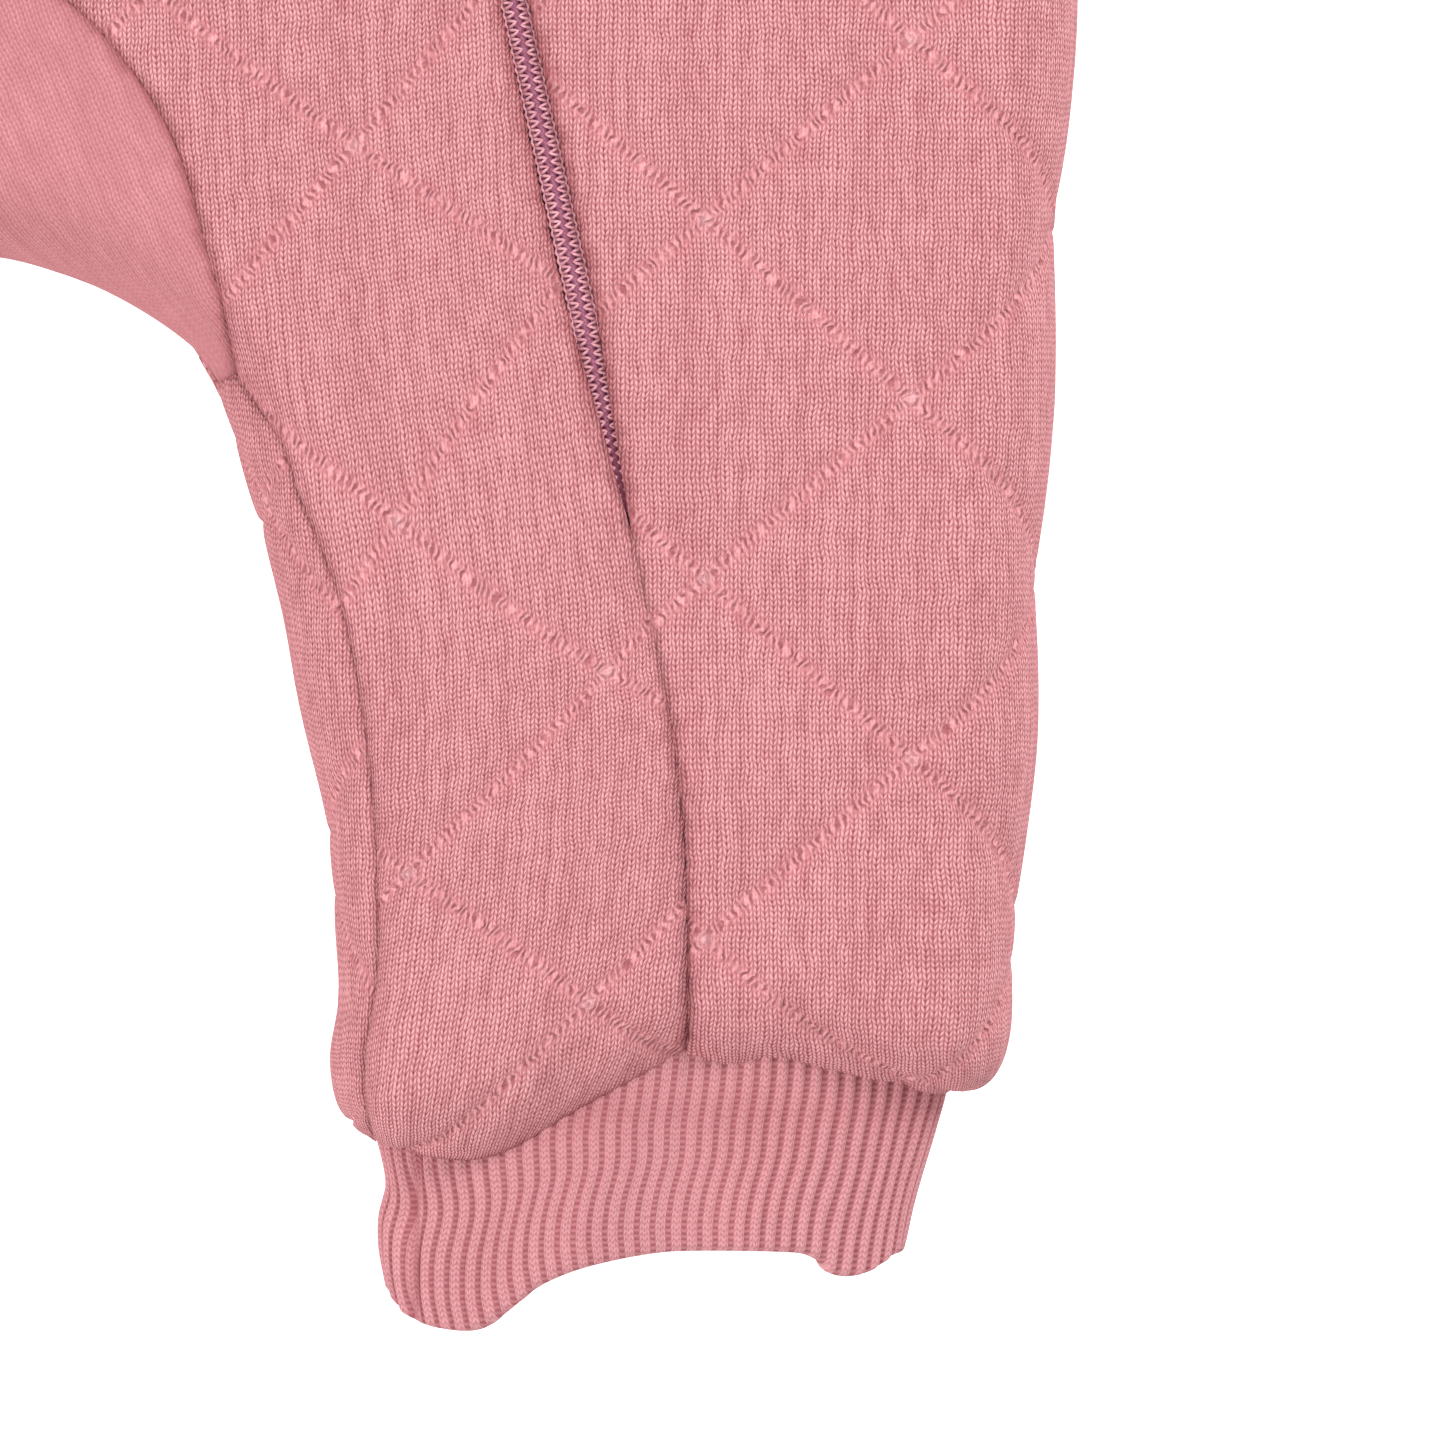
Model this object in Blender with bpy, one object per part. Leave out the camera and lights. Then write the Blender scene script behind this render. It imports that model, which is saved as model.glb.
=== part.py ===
"""Padded baby sleeping bag with legs, zipped from neck to thigh, lying on its back.

+X is the wearer's left, +Y points from feet to neck, +Z points out of the front. The bag is a flat,
round-edged tube of three layers (quilted shell, wadding, lining), cut along its real seams into panels.
Plan positions are given from the crotch and shifted by CROTCH_Y, so that the origin is under the middle.
"""

import math

import bmesh
import bpy
from mathutils import Matrix, Vector

MM = 0.001

# ---------------------------------------------------------------- driving dimensions, in metres
THICKNESS = 38 * MM  # the whole bag, lying flat
EDGE_WIDTH = 14 * MM  # how far in from the outline the side has rolled over
MIDDLE = THICKNESS / 2
SEAM_GAP = 0.3 * MM
COLLAR_TOP = 459.8 * MM
CUFF_END = -159 * MM
CROTCH_Y = -(COLLAR_TOP + CUFF_END) / 2

# Each layer lies between these depths under the outside of the bag.
SHELL = (0.0, 2.4 * MM)
WADDING = (2.7 * MM, 5.7 * MM)
LINING = (6.0 * MM, 6.9 * MM)
NECK_RIB = (0.6 * MM, 3.4 * MM)
ARM_RIB = (0.6 * MM, 3.4 * MM)

# The zip runs straight from its foot on the left thigh to the front of the collar.
ZIP_FOOT = Vector((99.3 * MM, -42.75 * MM))
ZIP_SLOPE = -0.2214  # sideways step for each step up
ZIP_LENGTH = 474 * MM
ZIP_SLOT = 4.5 * MM  # half width of the opening in the shell
WADDING_SLOT = 12.5 * MM  # the wadding is trimmed back so that the tape fits
FOLD_START = 90 * MM  # distance up the zip at which the front flap begins
FOLD_TOP = Vector((33 * MM, 432 * MM))

TAPE_Z = (33.9 * MM, 34.4 * MM)
TAPE_EDGES = (1.0 * MM, 11.0 * MM)
COIL_Z = (34.7 * MM, 36.7 * MM)
COIL_HALF = 2.1 * MM
COIL_PITCH = 1.4 * MM
COIL_SPAN = 4  # teeth that share one face of the strip
COIL_BITE = 0.7 * MM
COIL_CLEARANCE = 0.2 * MM
COIL_ENDS = (7.5 * MM, 459.5 * MM)

SLIDER_AT = 458 * MM
SLIDER_LENGTH = 10 * MM
SLIDER_HALF = 3.4 * MM
BAIL_AT = 1.5 * MM  # the bail's middle, down from the slider's middle
BAIL_HEIGHT = 3.0 * MM
TAB_LENGTH = 23 * MM
TAB_THICKNESS = 0.7 * MM
TAB_GAP = 0.35 * MM  # between the tab and the slider's upper plate

CUFF_WALL = 3 * MM
CUFF_ROUNDNESS = 2.6  # exponent of the cuff's flattened section

PINK = (0.70, 0.285, 0.305, 1.0)
RIB_PINK = (0.62, 0.262, 0.28, 1.0)
ZIP_PINK = (0.60, 0.24, 0.29, 1.0)
WHITE = (0.85, 0.84, 0.82, 1.0)
METAL = (0.62, 0.60, 0.59, 1.0)


def up_the_zip(distance, sideways=0.0):
    """The plan point that far up the zip's line, and that far to the wearer's left of it."""
    along = Vector((ZIP_SLOPE, 1.0)).normalized()
    across = Vector((along.y, -along.x))
    return ZIP_FOOT + along * distance + across * sideways


ZIP_TURN = Matrix.Rotation(math.atan(-ZIP_SLOPE), 4, "Z")


# ---------------------------------------------------------------- plan curves
def millimetres(pairs):
    return [Vector((x * MM, y * MM)) for x, y in pairs]


def smooth(points, steps, closed=False):
    """A Catmull-Rom curve through the points, with that many steps between each two."""
    count = len(points)
    spans = count if closed else count - 1
    curve = []
    for i in range(spans):
        if closed:
            a, b, c, d = (points[(i + k - 1) % count] for k in range(4))
        else:
            b, c = points[i], points[i + 1]
            a = points[i - 1] if i else b * 2 - c
            d = points[i + 2] if i + 2 < count else c * 2 - b
        for step in range(steps):
            t = step / steps
            curve.append(
                b + (c - a) * (t / 2) + (a * 2 - b * 5 + c * 4 - d) * (t * t / 2)
                + (b * 3 - a - c * 3 + d) * (t ** 3 / 2)
            )
    if not closed:
        curve.append(points[-1])
    return curve


def sideways(points, distance, closed=False):
    """The curve moved to the right of its own direction by the distance."""
    count = len(points)
    moved = []
    for i, point in enumerate(points):
        before = points[(i - 1) % count] if closed or i else point
        after = points[(i + 1) % count] if closed or i < count - 1 else point
        along = (after - before).normalized()
        moved.append(point + Vector((along.y, -along.x)) * distance)
    return moved


def mirrored(points):
    return [Vector((-p.x, p.y)) for p in points]


# The bag's outline, from the crotch round the left leg and up to the collar.
LEFT_OUTLINE = millimetres([
    (19.5, -6.5), (35.5, -19), (46, -52), (54.5, -100), (61, -127), (81, -135), (112, -129),
    (142, -126.5), (156, -111), (160, -55), (165.5, 30), (167, 125), (155, 235), (143, 350),
    (131, 412), (104, 428), (64, 438), (50, 455), (45, 490), (16, 492),
])
OUTLINE = smooth([Vector((0, 0)), *LEFT_OUTLINE, *reversed(mirrored(LEFT_OUTLINE))], 2, closed=True)

# Seams, all on the wearer's left; the right leg mirrors them.
ARMHOLE = smooth(millimetres([
    (185, 266), (148, 273), (121, 292), (106, 325), (100, 370), (102, 415), (105, 450),
]), 4)
INSEAM = smooth(millimetres([
    (36, -8), (39, -16), (46.6, -29.5), (53.7, -48.2), (58.5, -68.7), (61, -97.5), (58.8, -122), (61, -150),
]), 3)
LEG_SEAM = smooth(millimetres([
    (99.3, -40), (102.8, -58.5), (106.5, -76.5), (107.7, -97.5), (107.7, -150),
]), 3)
GUSSET_SIDE = millimetres([(29, -30), (39, -15.8), (33, 8), (20, 33), (0, 47)])
GUSSET = smooth([*GUSSET_SIDE, *reversed(mirrored(GUSSET_SIDE[:-1]))], 3)


def front_neck(x, rise=0.0):
    """Height of the front neck seam, or of the collar's edge with the rise."""
    half = (52 - rise / MM * 5 / 18) * MM
    return 405 * MM + rise + 33 * MM * (abs(x) / half) ** 2.2


def back_neck(x, rise=0.0):
    """Height of the back neck seam, or of the collar's edge with the rise."""
    return 432 * MM + rise + 8 * MM * (x / (50 * MM)) ** 2


# ---------------------------------------------------------------- making solids
def material(name, colour, roughness, metallic=0.0):
    made = bpy.data.materials.get(name)
    if made is None:
        made = bpy.data.materials.new(name)
        made.use_nodes = True
        shader = made.node_tree.nodes["Principled BSDF"]
        shader.inputs["Base Color"].default_value = colour
        shader.inputs["Roughness"].default_value = roughness
        shader.inputs["Metallic"].default_value = metallic
    return made


def add(name, mesh, finish):
    """A visible piece of the bag."""
    mesh.name = name
    mesh.materials.clear()
    mesh.materials.append(finish)
    mesh.shade_smooth()
    mesh.set_sharp_from_angle(angle=math.radians(40))
    piece = bpy.data.objects.new(name, mesh)
    bpy.context.scene.collection.objects.link(piece)
    return piece


def mesh_of(shape):
    """The bmesh's mesh, with its faces pointing out."""
    bmesh.ops.recalc_face_normals(shape, faces=shape.faces)
    mesh = bpy.data.meshes.new("shape")
    shape.to_mesh(mesh)
    shape.free()
    return mesh


def bridge(shape, rings):
    """Quads between each ring of vertices and the next."""
    for low, high in zip(rings, rings[1:]):
        for i in range(len(low)):
            j = (i + 1) % len(low)
            shape.faces.new((low[i], low[j], high[j], high[i]))


def rolled_rings(shape, depth, arcs=3):
    """Rings of the bag's outside, moved in by the depth, from the bottom's edge round to the top's."""
    rings = []
    for k in range(-arcs, arcs + 1):
        turn = math.pi / 2 * k / arcs
        inward = EDGE_WIDTH - (EDGE_WIDTH - depth) * math.cos(turn)
        height = MIDDLE + (MIDDLE - depth) * math.sin(turn)
        loop = sideways(OUTLINE, -inward, closed=True)
        rings.append([shape.verts.new((p.x, p.y + CROTCH_Y, height)) for p in loop])
    return rings


def layer(depths):
    """One closed layer of the bag: the skin between two depths, all round."""
    shape = bmesh.new()
    for depth in depths:
        skin = bmesh.new()
        rings = rolled_rings(skin, depth)
        bridge(skin, rings)
        skin.faces.new(rings[0])
        skin.faces.new(rings[-1])
        bmesh.ops.recalc_face_normals(skin, faces=skin.faces)
        if depth == depths[1]:
            bmesh.ops.reverse_faces(skin, faces=skin.faces)
        part = bpy.data.meshes.new("skin")
        skin.to_mesh(part)
        skin.free()
        shape.from_mesh(part)
        bpy.data.meshes.remove(part)
    mesh = bpy.data.meshes.new("layer")
    shape.to_mesh(mesh)
    shape.free()
    return mesh


def prism(points, low, high):
    """The plan polygon, raised from one height to another."""
    shape = bmesh.new()
    rings = [[shape.verts.new((p.x, p.y + CROTCH_Y, z)) for p in points] for z in (low, high)]
    bridge(shape, rings)
    shape.faces.new(rings[0])
    shape.faces.new(rings[1])
    return mesh_of(shape)


def block(low, high):
    """A box between two corners, in plan positions from the crotch."""
    corners = [Vector((x, y)) for x, y in
               ((low[0], low[1]), (high[0], low[1]), (high[0], high[1]), (low[0], high[1]))]
    return prism(corners, low[2], high[2])


def ribbon(points, half, low, high):
    """A thin upright wall along a plan curve."""
    return prism(sideways(points, half) + list(reversed(sideways(points, -half))), low, high)


def combine(mesh, other, operation):
    """The exact Boolean of two meshes, as a new mesh."""
    target = bpy.data.objects.new("target", mesh)
    cutter = bpy.data.objects.new("cutter", other)
    for obj in (target, cutter):
        bpy.context.scene.collection.objects.link(obj)
    modifier = target.modifiers.new("cut", "BOOLEAN")
    modifier.operation = operation
    modifier.solver = "EXACT"
    modifier.object = cutter
    graph = bpy.context.evaluated_depsgraph_get()
    made = bpy.data.meshes.new_from_object(target.evaluated_get(graph))
    for obj in (target, cutter):
        bpy.data.objects.remove(obj)
    return made


def cut(mesh, cutters):
    for other in cutters:
        mesh = combine(mesh, other, "DIFFERENCE")
    return mesh


def piece_at(mesh, x, y, high):
    """The one connected part of the mesh that is nearest to a plan point, on its top or its bottom."""
    shape = bmesh.new()
    shape.from_mesh(mesh)
    bmesh.ops.remove_doubles(shape, verts=shape.verts, dist=1e-6)
    probe = Vector((x * MM, y * MM + CROTCH_Y, THICKNESS if high else 0.0))

    def distance(face):
        return (face.calc_center_median() - probe).length

    bmesh.ops.triangulate(shape, faces=shape.faces)
    seen = {min(shape.faces, key=distance)}
    edge = list(seen)
    while edge:
        face = edge.pop()
        for side in face.edges:
            for other in side.link_faces:
                if other not in seen:
                    seen.add(other)
                    edge.append(other)
    bmesh.ops.delete(shape, geom=[f for f in shape.faces if f not in seen], context="FACES")
    made = bpy.data.meshes.new("piece")
    shape.to_mesh(made)
    shape.free()
    return made


# ---------------------------------------------------------------- the seams, as thin cutters
BELOW, ABOVE = -10 * MM, 60 * MM
FRONT_ONLY = 27 * MM


def curve_cutter(height_at, low, high, upward):
    """Everything above (or below) a neck curve, between two heights."""
    xs = [(-70 + 10 * i) * MM for i in range(15)]
    edge = [Vector((x, height_at(x))) for x in xs]
    far = (560 if upward else 300) * MM
    return prism(edge + [Vector((xs[-1], far)), Vector((xs[0], far))], low, high)


def armhole_cutters(out):
    """Everything outside the two armholes, starting that far out from their seams."""
    made = []
    for side in (ARMHOLE, mirrored(ARMHOLE)):
        edge = sideways(side, out if side is ARMHOLE else -out)
        sign = 1 if side is ARMHOLE else -1
        far = [Vector((sign * 260 * MM, 470 * MM)), Vector((sign * 260 * MM, 255 * MM))]
        made.append(prism(edge + far, BELOW, ABOVE))
    return made


def side_seam_cutters(leg_blocks):
    """Side and shoulder seams: a thin level cut at half height, on each leg outwards from the given places."""
    low, high = MIDDLE - SEAM_GAP / 2, MIDDLE + SEAM_GAP / 2
    made = [block((-250 * MM, 12 * MM, low), (250 * MM, 520 * MM, high))]
    for inner, top in leg_blocks:
        made.append(block((inner * MM, -200 * MM, low), (250 * MM, top * MM, high)))
        made.append(block((-250 * MM, -200 * MM, low), (-inner * MM, top * MM, high)))
    return made


def zip_slot(half):
    ends = [up_the_zip(-2 * MM), up_the_zip(ZIP_LENGTH + 60 * MM)]
    return ribbon(ends, half, FRONT_ONLY, ABOVE)


def fold_line():
    """The line that the front flap folds back along, from across the zip up to the collar."""
    along = (FOLD_TOP - ZIP_FOOT).normalized()
    return [up_the_zip(FOLD_START), ZIP_FOOT + along * FOLD_START, ZIP_FOOT + along * 560 * MM]


def panel_cutters(slot, wrapped):
    """All the seams; in the shell the back wraps round the inner leg, further in it meets the front there."""
    half = SEAM_GAP / 2
    if wrapped:
        inner_leg = side_seam_cutters(((100, 20), (58, -112)))
        inner_leg += [ribbon(INSEAM, half, MIDDLE, ABOVE), ribbon(mirrored(INSEAM), half, MIDDLE, ABOVE)]
    else:
        inner_leg = side_seam_cutters(((36, 20),))
    return [
        *inner_leg,
        ribbon(GUSSET, half, BELOW, ABOVE),
        ribbon(LEG_SEAM, half, MIDDLE, ABOVE),
        zip_slot(slot),
        ribbon(fold_line(), half, FRONT_ONLY, ABOVE),
    ]


# ---------------------------------------------------------------- cuffs
def cuff_rings(shape, side, grow):
    """Rings of a leg cuff's section, a flattened oval that narrows downwards and leans inwards."""
    rings = []
    for y, x, half_width, half_height in (
        (-114, 104, 42.5, 12.0), (-136, 103.2, 42.3, 12.0), (-150, 101.4, 40.5, 11.6),
        (-157.5, 100.8, 39.6, 11.2), (-159, 100.7, 38.9, 10.5),
    ):
        ring = []
        for k in range(28):
            turn = 2 * math.pi * k / 28
            c, s = math.cos(turn), math.sin(turn)
            wide = math.copysign(abs(c) ** (2 / CUFF_ROUNDNESS), c) * (half_width * MM + grow)
            tall = math.copysign(abs(s) ** (2 / CUFF_ROUNDNESS), s) * (half_height * MM + grow)
            ring.append(shape.verts.new((side * (x * MM) + wide, y * MM + CROTCH_Y, 16 * MM + tall)))
        rings.append(ring)
    return rings


def cuff_mesh(side):
    """The folded rib tube: an outer and an inner wall, joined at both ends."""
    shape = bmesh.new()
    outer = cuff_rings(shape, side, 0.0)
    inner = cuff_rings(shape, side, -CUFF_WALL)
    bridge(shape, [*outer, *reversed(inner), outer[0]])
    return mesh_of(shape)


def cuff_hole(side):
    """What the shell leaves open for the cuff."""
    shape = bmesh.new()
    rings = cuff_rings(shape, side, SEAM_GAP)
    bridge(shape, rings)
    shape.faces.new(rings[0])
    shape.faces.new(rings[-1])
    bmesh.ops.translate(shape, verts=shape.verts, vec=(0, SEAM_GAP, 0))
    return mesh_of(shape)


# ---------------------------------------------------------------- the zip
def zip_place(mesh, distance, height=0.0):
    """Turns a mesh made along +Y into the zip's line, at a distance up it."""
    at = up_the_zip(distance)
    mesh.transform(Matrix.Translation((at.x, at.y + CROTCH_Y, height)) @ ZIP_TURN)
    return mesh


def upright(points, low, high):
    """A polygon in the zip's own plan (across, along), raised between two heights."""
    shape = bmesh.new()
    rings = [[shape.verts.new((x, y, z)) for x, y in points] for z in (low, high)]
    bridge(shape, rings)
    shape.faces.new(rings[0])
    shape.faces.new(rings[1])
    return mesh_of(shape)


def rounded(half_x, half_y, radius, steps=3, middle_y=0.0):
    """Corner points of a rectangle with round corners."""
    points = []
    for cx, cy, start in ((1, 1, 0), (-1, 1, 90), (-1, -1, 180), (1, -1, 270)):
        for k in range(steps + 1):
            turn = math.radians(start + 90 * k / steps)
            points.append((
                cx * (half_x - radius) + radius * math.cos(turn),
                middle_y + cy * (half_y - radius) + radius * math.sin(turn),
            ))
    return points


def tape_mesh(side):
    inner, outer = (side * edge for edge in TAPE_EDGES)
    low, high = 1 * MM, (ZIP_LENGTH - 4 * MM if side < 0 else ZIP_LENGTH - 6.3 * MM)
    corners = [(inner, low), (outer, low), (outer, high), (inner, high)]
    return zip_place(upright(corners, *TAPE_Z), 0.0)


def coil_mesh(side):
    """Half of the zip's chain: a strip with a row of teeth inwards, half a pitch out of step with the other's."""
    start, end = COIL_ENDS
    spans = int((end - start) / COIL_PITCH / COIL_SPAN)
    shape = bmesh.new()
    teeth, backs = [], []
    for z in COIL_Z:
        row = []
        for k in range(2 * COIL_SPAN * spans + 1):
            reach = COIL_BITE if k % 2 else -COIL_BITE
            row.append(shape.verts.new((reach + side * COIL_CLEARANCE, start + k * COIL_PITCH / 2, z)))
        teeth.append(row)
        span = COIL_SPAN * COIL_PITCH
        backs.append([shape.verts.new((side * COIL_HALF, start + k * span, z)) for k in range(spans + 1)])
    bridge(shape, [row + back[::-1] for row, back in zip(teeth, backs)])
    for row, back in zip(teeth, backs):
        for k in range(spans):
            first = 2 * COIL_SPAN * k
            shape.faces.new([*row[first:first + 2 * COIL_SPAN + 1], back[k + 1], back[k]])
    return zip_place(mesh_of(shape), 0.0)


def slider_mesh():
    """The slider: two plates joined by a wedge, with side flanges round the chain and a bail over the top."""
    half = SLIDER_LENGTH / 2
    plate = [
        (-2.6 * MM, -half), (2.6 * MM, -half), (3.1 * MM, -2 * MM), (SLIDER_HALF, 2.2 * MM),
        (SLIDER_HALF, half - 1.4 * MM), (2.0 * MM, half), (-2.0 * MM, half), (-SLIDER_HALF, half - 1.4 * MM),
        (-SLIDER_HALF, 2.2 * MM), (-3.1 * MM, -2 * MM),
    ]
    bottom = upright(plate, TAPE_Z[0] - 1.2 * MM, TAPE_Z[0] - 0.35 * MM)
    top = upright(plate, COIL_Z[1] + 0.3 * MM, COIL_Z[1] + 1.2 * MM)
    wedge = upright(
        [(0, 1.9 * MM), (0.6 * MM, 2.9 * MM), (0.6 * MM, 3.9 * MM), (0, 4.7 * MM), (-0.6 * MM, 3.9 * MM),
         (-0.6 * MM, 2.9 * MM)], TAPE_Z[0] - 0.6 * MM, COIL_Z[1] + 0.6 * MM)
    body = combine(combine(bottom, wedge, "UNION"), top, "UNION")
    for side in (1, -1):
        flange = [(side * x * MM, y * MM) for x, y in
                  ((2.45, -4.6), (2.75, -4.6), (3.2, -1.9), (3.39, 2.2),
                   (3.39, 3.2), (2.75, 3.2), (2.45, -1.0))]
        body = combine(body, upright(flange, TAPE_Z[1] + 0.35 * MM, COIL_Z[1] + 0.6 * MM), "UNION")
    base = COIL_Z[1] + 1.2 * MM
    arch = bmesh.new()
    rings = []
    for grow in (0.0, 0.9 * MM):
        outline = []
        for k in range(9):
            turn = math.pi * k / 8
            outline.append((math.cos(turn) * (2.0 * MM + grow), math.sin(turn) * (1.6 * MM + grow)))
        rings.append(outline)
    loop = rings[1] + list(reversed(rings[0]))
    walls = [[arch.verts.new((x, y - BAIL_AT, z + base - 0.05 * MM)) for y, z in loop]
             for x in (-0.6 * MM, 0.6 * MM)]
    bridge(arch, walls)
    arch.faces.new(walls[0])
    arch.faces.new(walls[1])
    body = combine(body, mesh_of(arch), "UNION")
    return zip_place(body, SLIDER_AT)


def tab_mesh():
    """The pull tab: a flat drop shape with an eye round the bail and a grip hole near its end."""
    low = COIL_Z[1] + 1.2 * MM + TAB_GAP
    high = low + TAB_THICKNESS
    outline = []
    for k in range(25):
        turn = math.pi * k / 24
        outline.append((-2.9 * MM * math.cos(turn), -TAB_LENGTH + 3.2 * MM - 3.2 * MM * math.sin(turn)))
    outline += [(1.9 * MM, -4.0 * MM), (1.9 * MM, 0.9 * MM), (-1.9 * MM, 0.9 * MM), (-1.9 * MM, -4.0 * MM)]
    body = upright(outline, low, high)
    eye = upright(rounded(0.95 * MM, 1.6 * MM, 0.5 * MM, middle_y=-1.7 * MM), low - 1 * MM, high + 1 * MM)
    grip = upright(rounded(1.5 * MM, 3.2 * MM, 1.4 * MM, middle_y=-TAB_LENGTH + 6.5 * MM),
                   low - 1 * MM, high + 1 * MM)
    body = cut(body, [eye, grip])
    return zip_place(body, SLIDER_AT - BAIL_AT)


def stop_mesh(side, distance):
    """A small clamp over the coil's end; side 0 is the bottom stop, across both rows."""
    half, middle = (2.6 * MM, 0.0) if side == 0 else (1.0 * MM, side * 1.9 * MM)
    points = [(middle + x, y) for x, y in rounded(half, 1.9 * MM, 0.5 * MM, steps=2)]
    return zip_place(upright(points, TAPE_Z[1] + 0.3 * MM, COIL_Z[1] + 0.3 * MM), distance)


def chin_guard_mesh():
    """The zip garage: a strip of jersey folded over the top end of the zip, open towards the slider."""
    across = (-12 * MM, 3.5 * MM)
    start, end = 468.5 * MM, 486 * MM
    path = [(start, 39.2), (end - 3.0 * MM, 39.2), (end - 0.6 * MM, 38.0), (end, 35.5),
            (end - 0.6 * MM, 31.6), (end - 3.0 * MM, 30.9), (start, 30.9)]
    inner = [(start, 38.0), (end - 3.2 * MM, 38.0), (end - 1.7 * MM, 37.2), (end - 1.2 * MM, 35.5),
             (end - 1.7 * MM, 32.5), (end - 3.2 * MM, 31.9), (start, 31.9)]
    shape = bmesh.new()
    loop = path + list(reversed(inner))
    walls = [[shape.verts.new((x, y, z * MM)) for y, z in loop] for x in across]
    bridge(shape, walls)
    shape.faces.new(walls[0])
    shape.faces.new(walls[1])
    return zip_place(mesh_of(shape), 0.0)


def guard_mesh():
    """The strip of jersey behind the zip that keeps it off the skin."""
    corners = [(-12 * MM, 2 * MM), (10 * MM, 2 * MM), (10 * MM, 463 * MM), (-12 * MM, 463 * MM)]
    return zip_place(upright(corners, 29.6 * MM, 30.4 * MM), 0.0)


# ---------------------------------------------------------------- small trim at the back neck
def hanger_loop_mesh():
    """A loop of tape on edge, both ends at the back neck seam."""
    arc = [Vector((-13 * MM * math.cos(math.pi * k / 12), 431.2 * MM - 9.5 * MM * math.sin(math.pi * k / 12)))
           for k in range(13)]
    return ribbon(arc, 0.6 * MM, LINING[1] + SEAM_GAP, LINING[1] + SEAM_GAP + 6 * MM)


def label_mesh(x, y, half_x, half_y):
    low = (x - half_x) * MM, (y - half_y) * MM, LINING[1] + SEAM_GAP
    high = (x + half_x) * MM, (y + half_y) * MM, LINING[1] + SEAM_GAP + 0.5 * MM
    return block(low, high)


# ---------------------------------------------------------------- assembly
def build_body():
    """The three layers, each cut by the same seams into its panels."""
    quilt = material("quilted_knit", PINK, 0.9)
    jersey = material("plain_jersey", PINK, 0.92)
    batt = material("wadding", WHITE, 1.0)
    openings = [
        *armhole_cutters(0.0),
        curve_cutter(front_neck, MIDDLE, ABOVE, True),
        curve_cutter(back_neck, BELOW, MIDDLE, True),
        cuff_hole(1),
        cuff_hole(-1),
    ]
    panels = (("front_main", -90, 150, True), ("front_left", 130, 80, True), ("front_flap", 28, 370, True),
              ("back", 0, 200, False))
    for suffix, depths, slot, finish in (
        ("panel", SHELL, ZIP_SLOT, quilt),
        ("wadding", WADDING, WADDING_SLOT, batt),
        ("lining", LINING, ZIP_SLOT, jersey),
    ):
        whole = cut(layer(depths), [*openings, *panel_cutters(slot, suffix == "panel")])
        for name, x, y, high in panels:
            add(f"{name}_{suffix}", piece_at(whole, x, y, high), finish)
        if suffix != "wadding":
            name = "crotch_gusset" if suffix == "panel" else "gusset_lining"
            add(name, piece_at(whole, 0, 20, True), jersey)


def build_ribs():
    rib = material("rib_knit", RIB_PINK, 0.92)
    gap = SEAM_GAP
    collar = cut(layer(NECK_RIB), [
        curve_cutter(lambda x: front_neck(x) + gap, MIDDLE, ABOVE, False),
        curve_cutter(lambda x: back_neck(x) + gap, BELOW, MIDDLE, False),
        curve_cutter(lambda x: front_neck(x, 18 * MM), MIDDLE, ABOVE, True),
        curve_cutter(lambda x: back_neck(x, 18 * MM), BELOW, MIDDLE, True),
        block((-250 * MM, -200 * MM, BELOW), (250 * MM, 401 * MM, ABOVE)),
        zip_slot(ZIP_SLOT),
        ribbon(fold_line(), gap / 2, FRONT_ONLY, ABOVE),
    ])
    collar = cut(collar, [
        block(((sign * 70 - 15) * MM, 300 * MM, BELOW), ((sign * 70 + 15) * MM, 520 * MM, ABOVE))
        for sign in (1, -1)
    ])
    add("neck_rib", piece_at(collar, 0, 440, False), rib)
    add("neck_rib_flap", piece_at(collar, 20, 420, True), rib)
    band = layer(ARM_RIB)
    outside = armhole_cutters(12 * MM)
    for sign, name in ((1, "left"), (-1, "right")):
        seam = ARMHOLE if sign > 0 else mirrored(ARMHOLE)
        past = [Vector((sign * -50 * MM, y * MM)) for y in (470, 266)]
        inside = prism(sideways(seam, sign * gap) + past, BELOW, ABOVE)
        below = block((-250 * MM, -200 * MM, BELOW), (250 * MM, 266 * MM, ABOVE))
        far = sorted((0, -sign * 250))
        other = block((far[0] * MM, 200 * MM, BELOW), (far[1] * MM, 520 * MM, ABOVE))
        ring = cut(band.copy(), [inside, outside[0 if sign > 0 else 1].copy(), below, other])
        add(f"armhole_rib_{name}", piece_at(ring, sign * 112, 350, True), rib)
        add(f"leg_cuff_{name}", cuff_mesh(sign), rib)


def build_zip():
    tape = material("zip_tape", ZIP_PINK, 0.85)
    nylon = material("zip_coil", ZIP_PINK, 0.45)
    metal = material("zip_metal", METAL, 0.3, 1.0)
    jersey = material("plain_jersey", PINK, 0.92)
    for side, name in ((-1, "right"), (1, "left")):
        add(f"zip_tape_{name}", tape_mesh(side), tape)
        add(f"zip_coil_{name}", coil_mesh(side), nylon)
        add(f"zip_top_stop_{name}", stop_mesh(side, SLIDER_AT + 7.4 * MM), metal)
    add("zip_bottom_stop", stop_mesh(0, 5 * MM), metal)
    add("zip_slider", slider_mesh(), metal)
    add("zip_pull_tab", tab_mesh(), metal)
    add("zip_guard", guard_mesh(), jersey)
    add("chin_guard", chin_guard_mesh(), jersey)


def build_trim():
    add("hanger_loop", hanger_loop_mesh(), material("zip_tape", ZIP_PINK, 0.85))
    satin = material("label_satin", WHITE, 0.5)
    add("size_label", label_mesh(0, 404, 15, 10), satin)
    add("care_label", label_mesh(-122, 110, 20, 14), satin)


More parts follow.
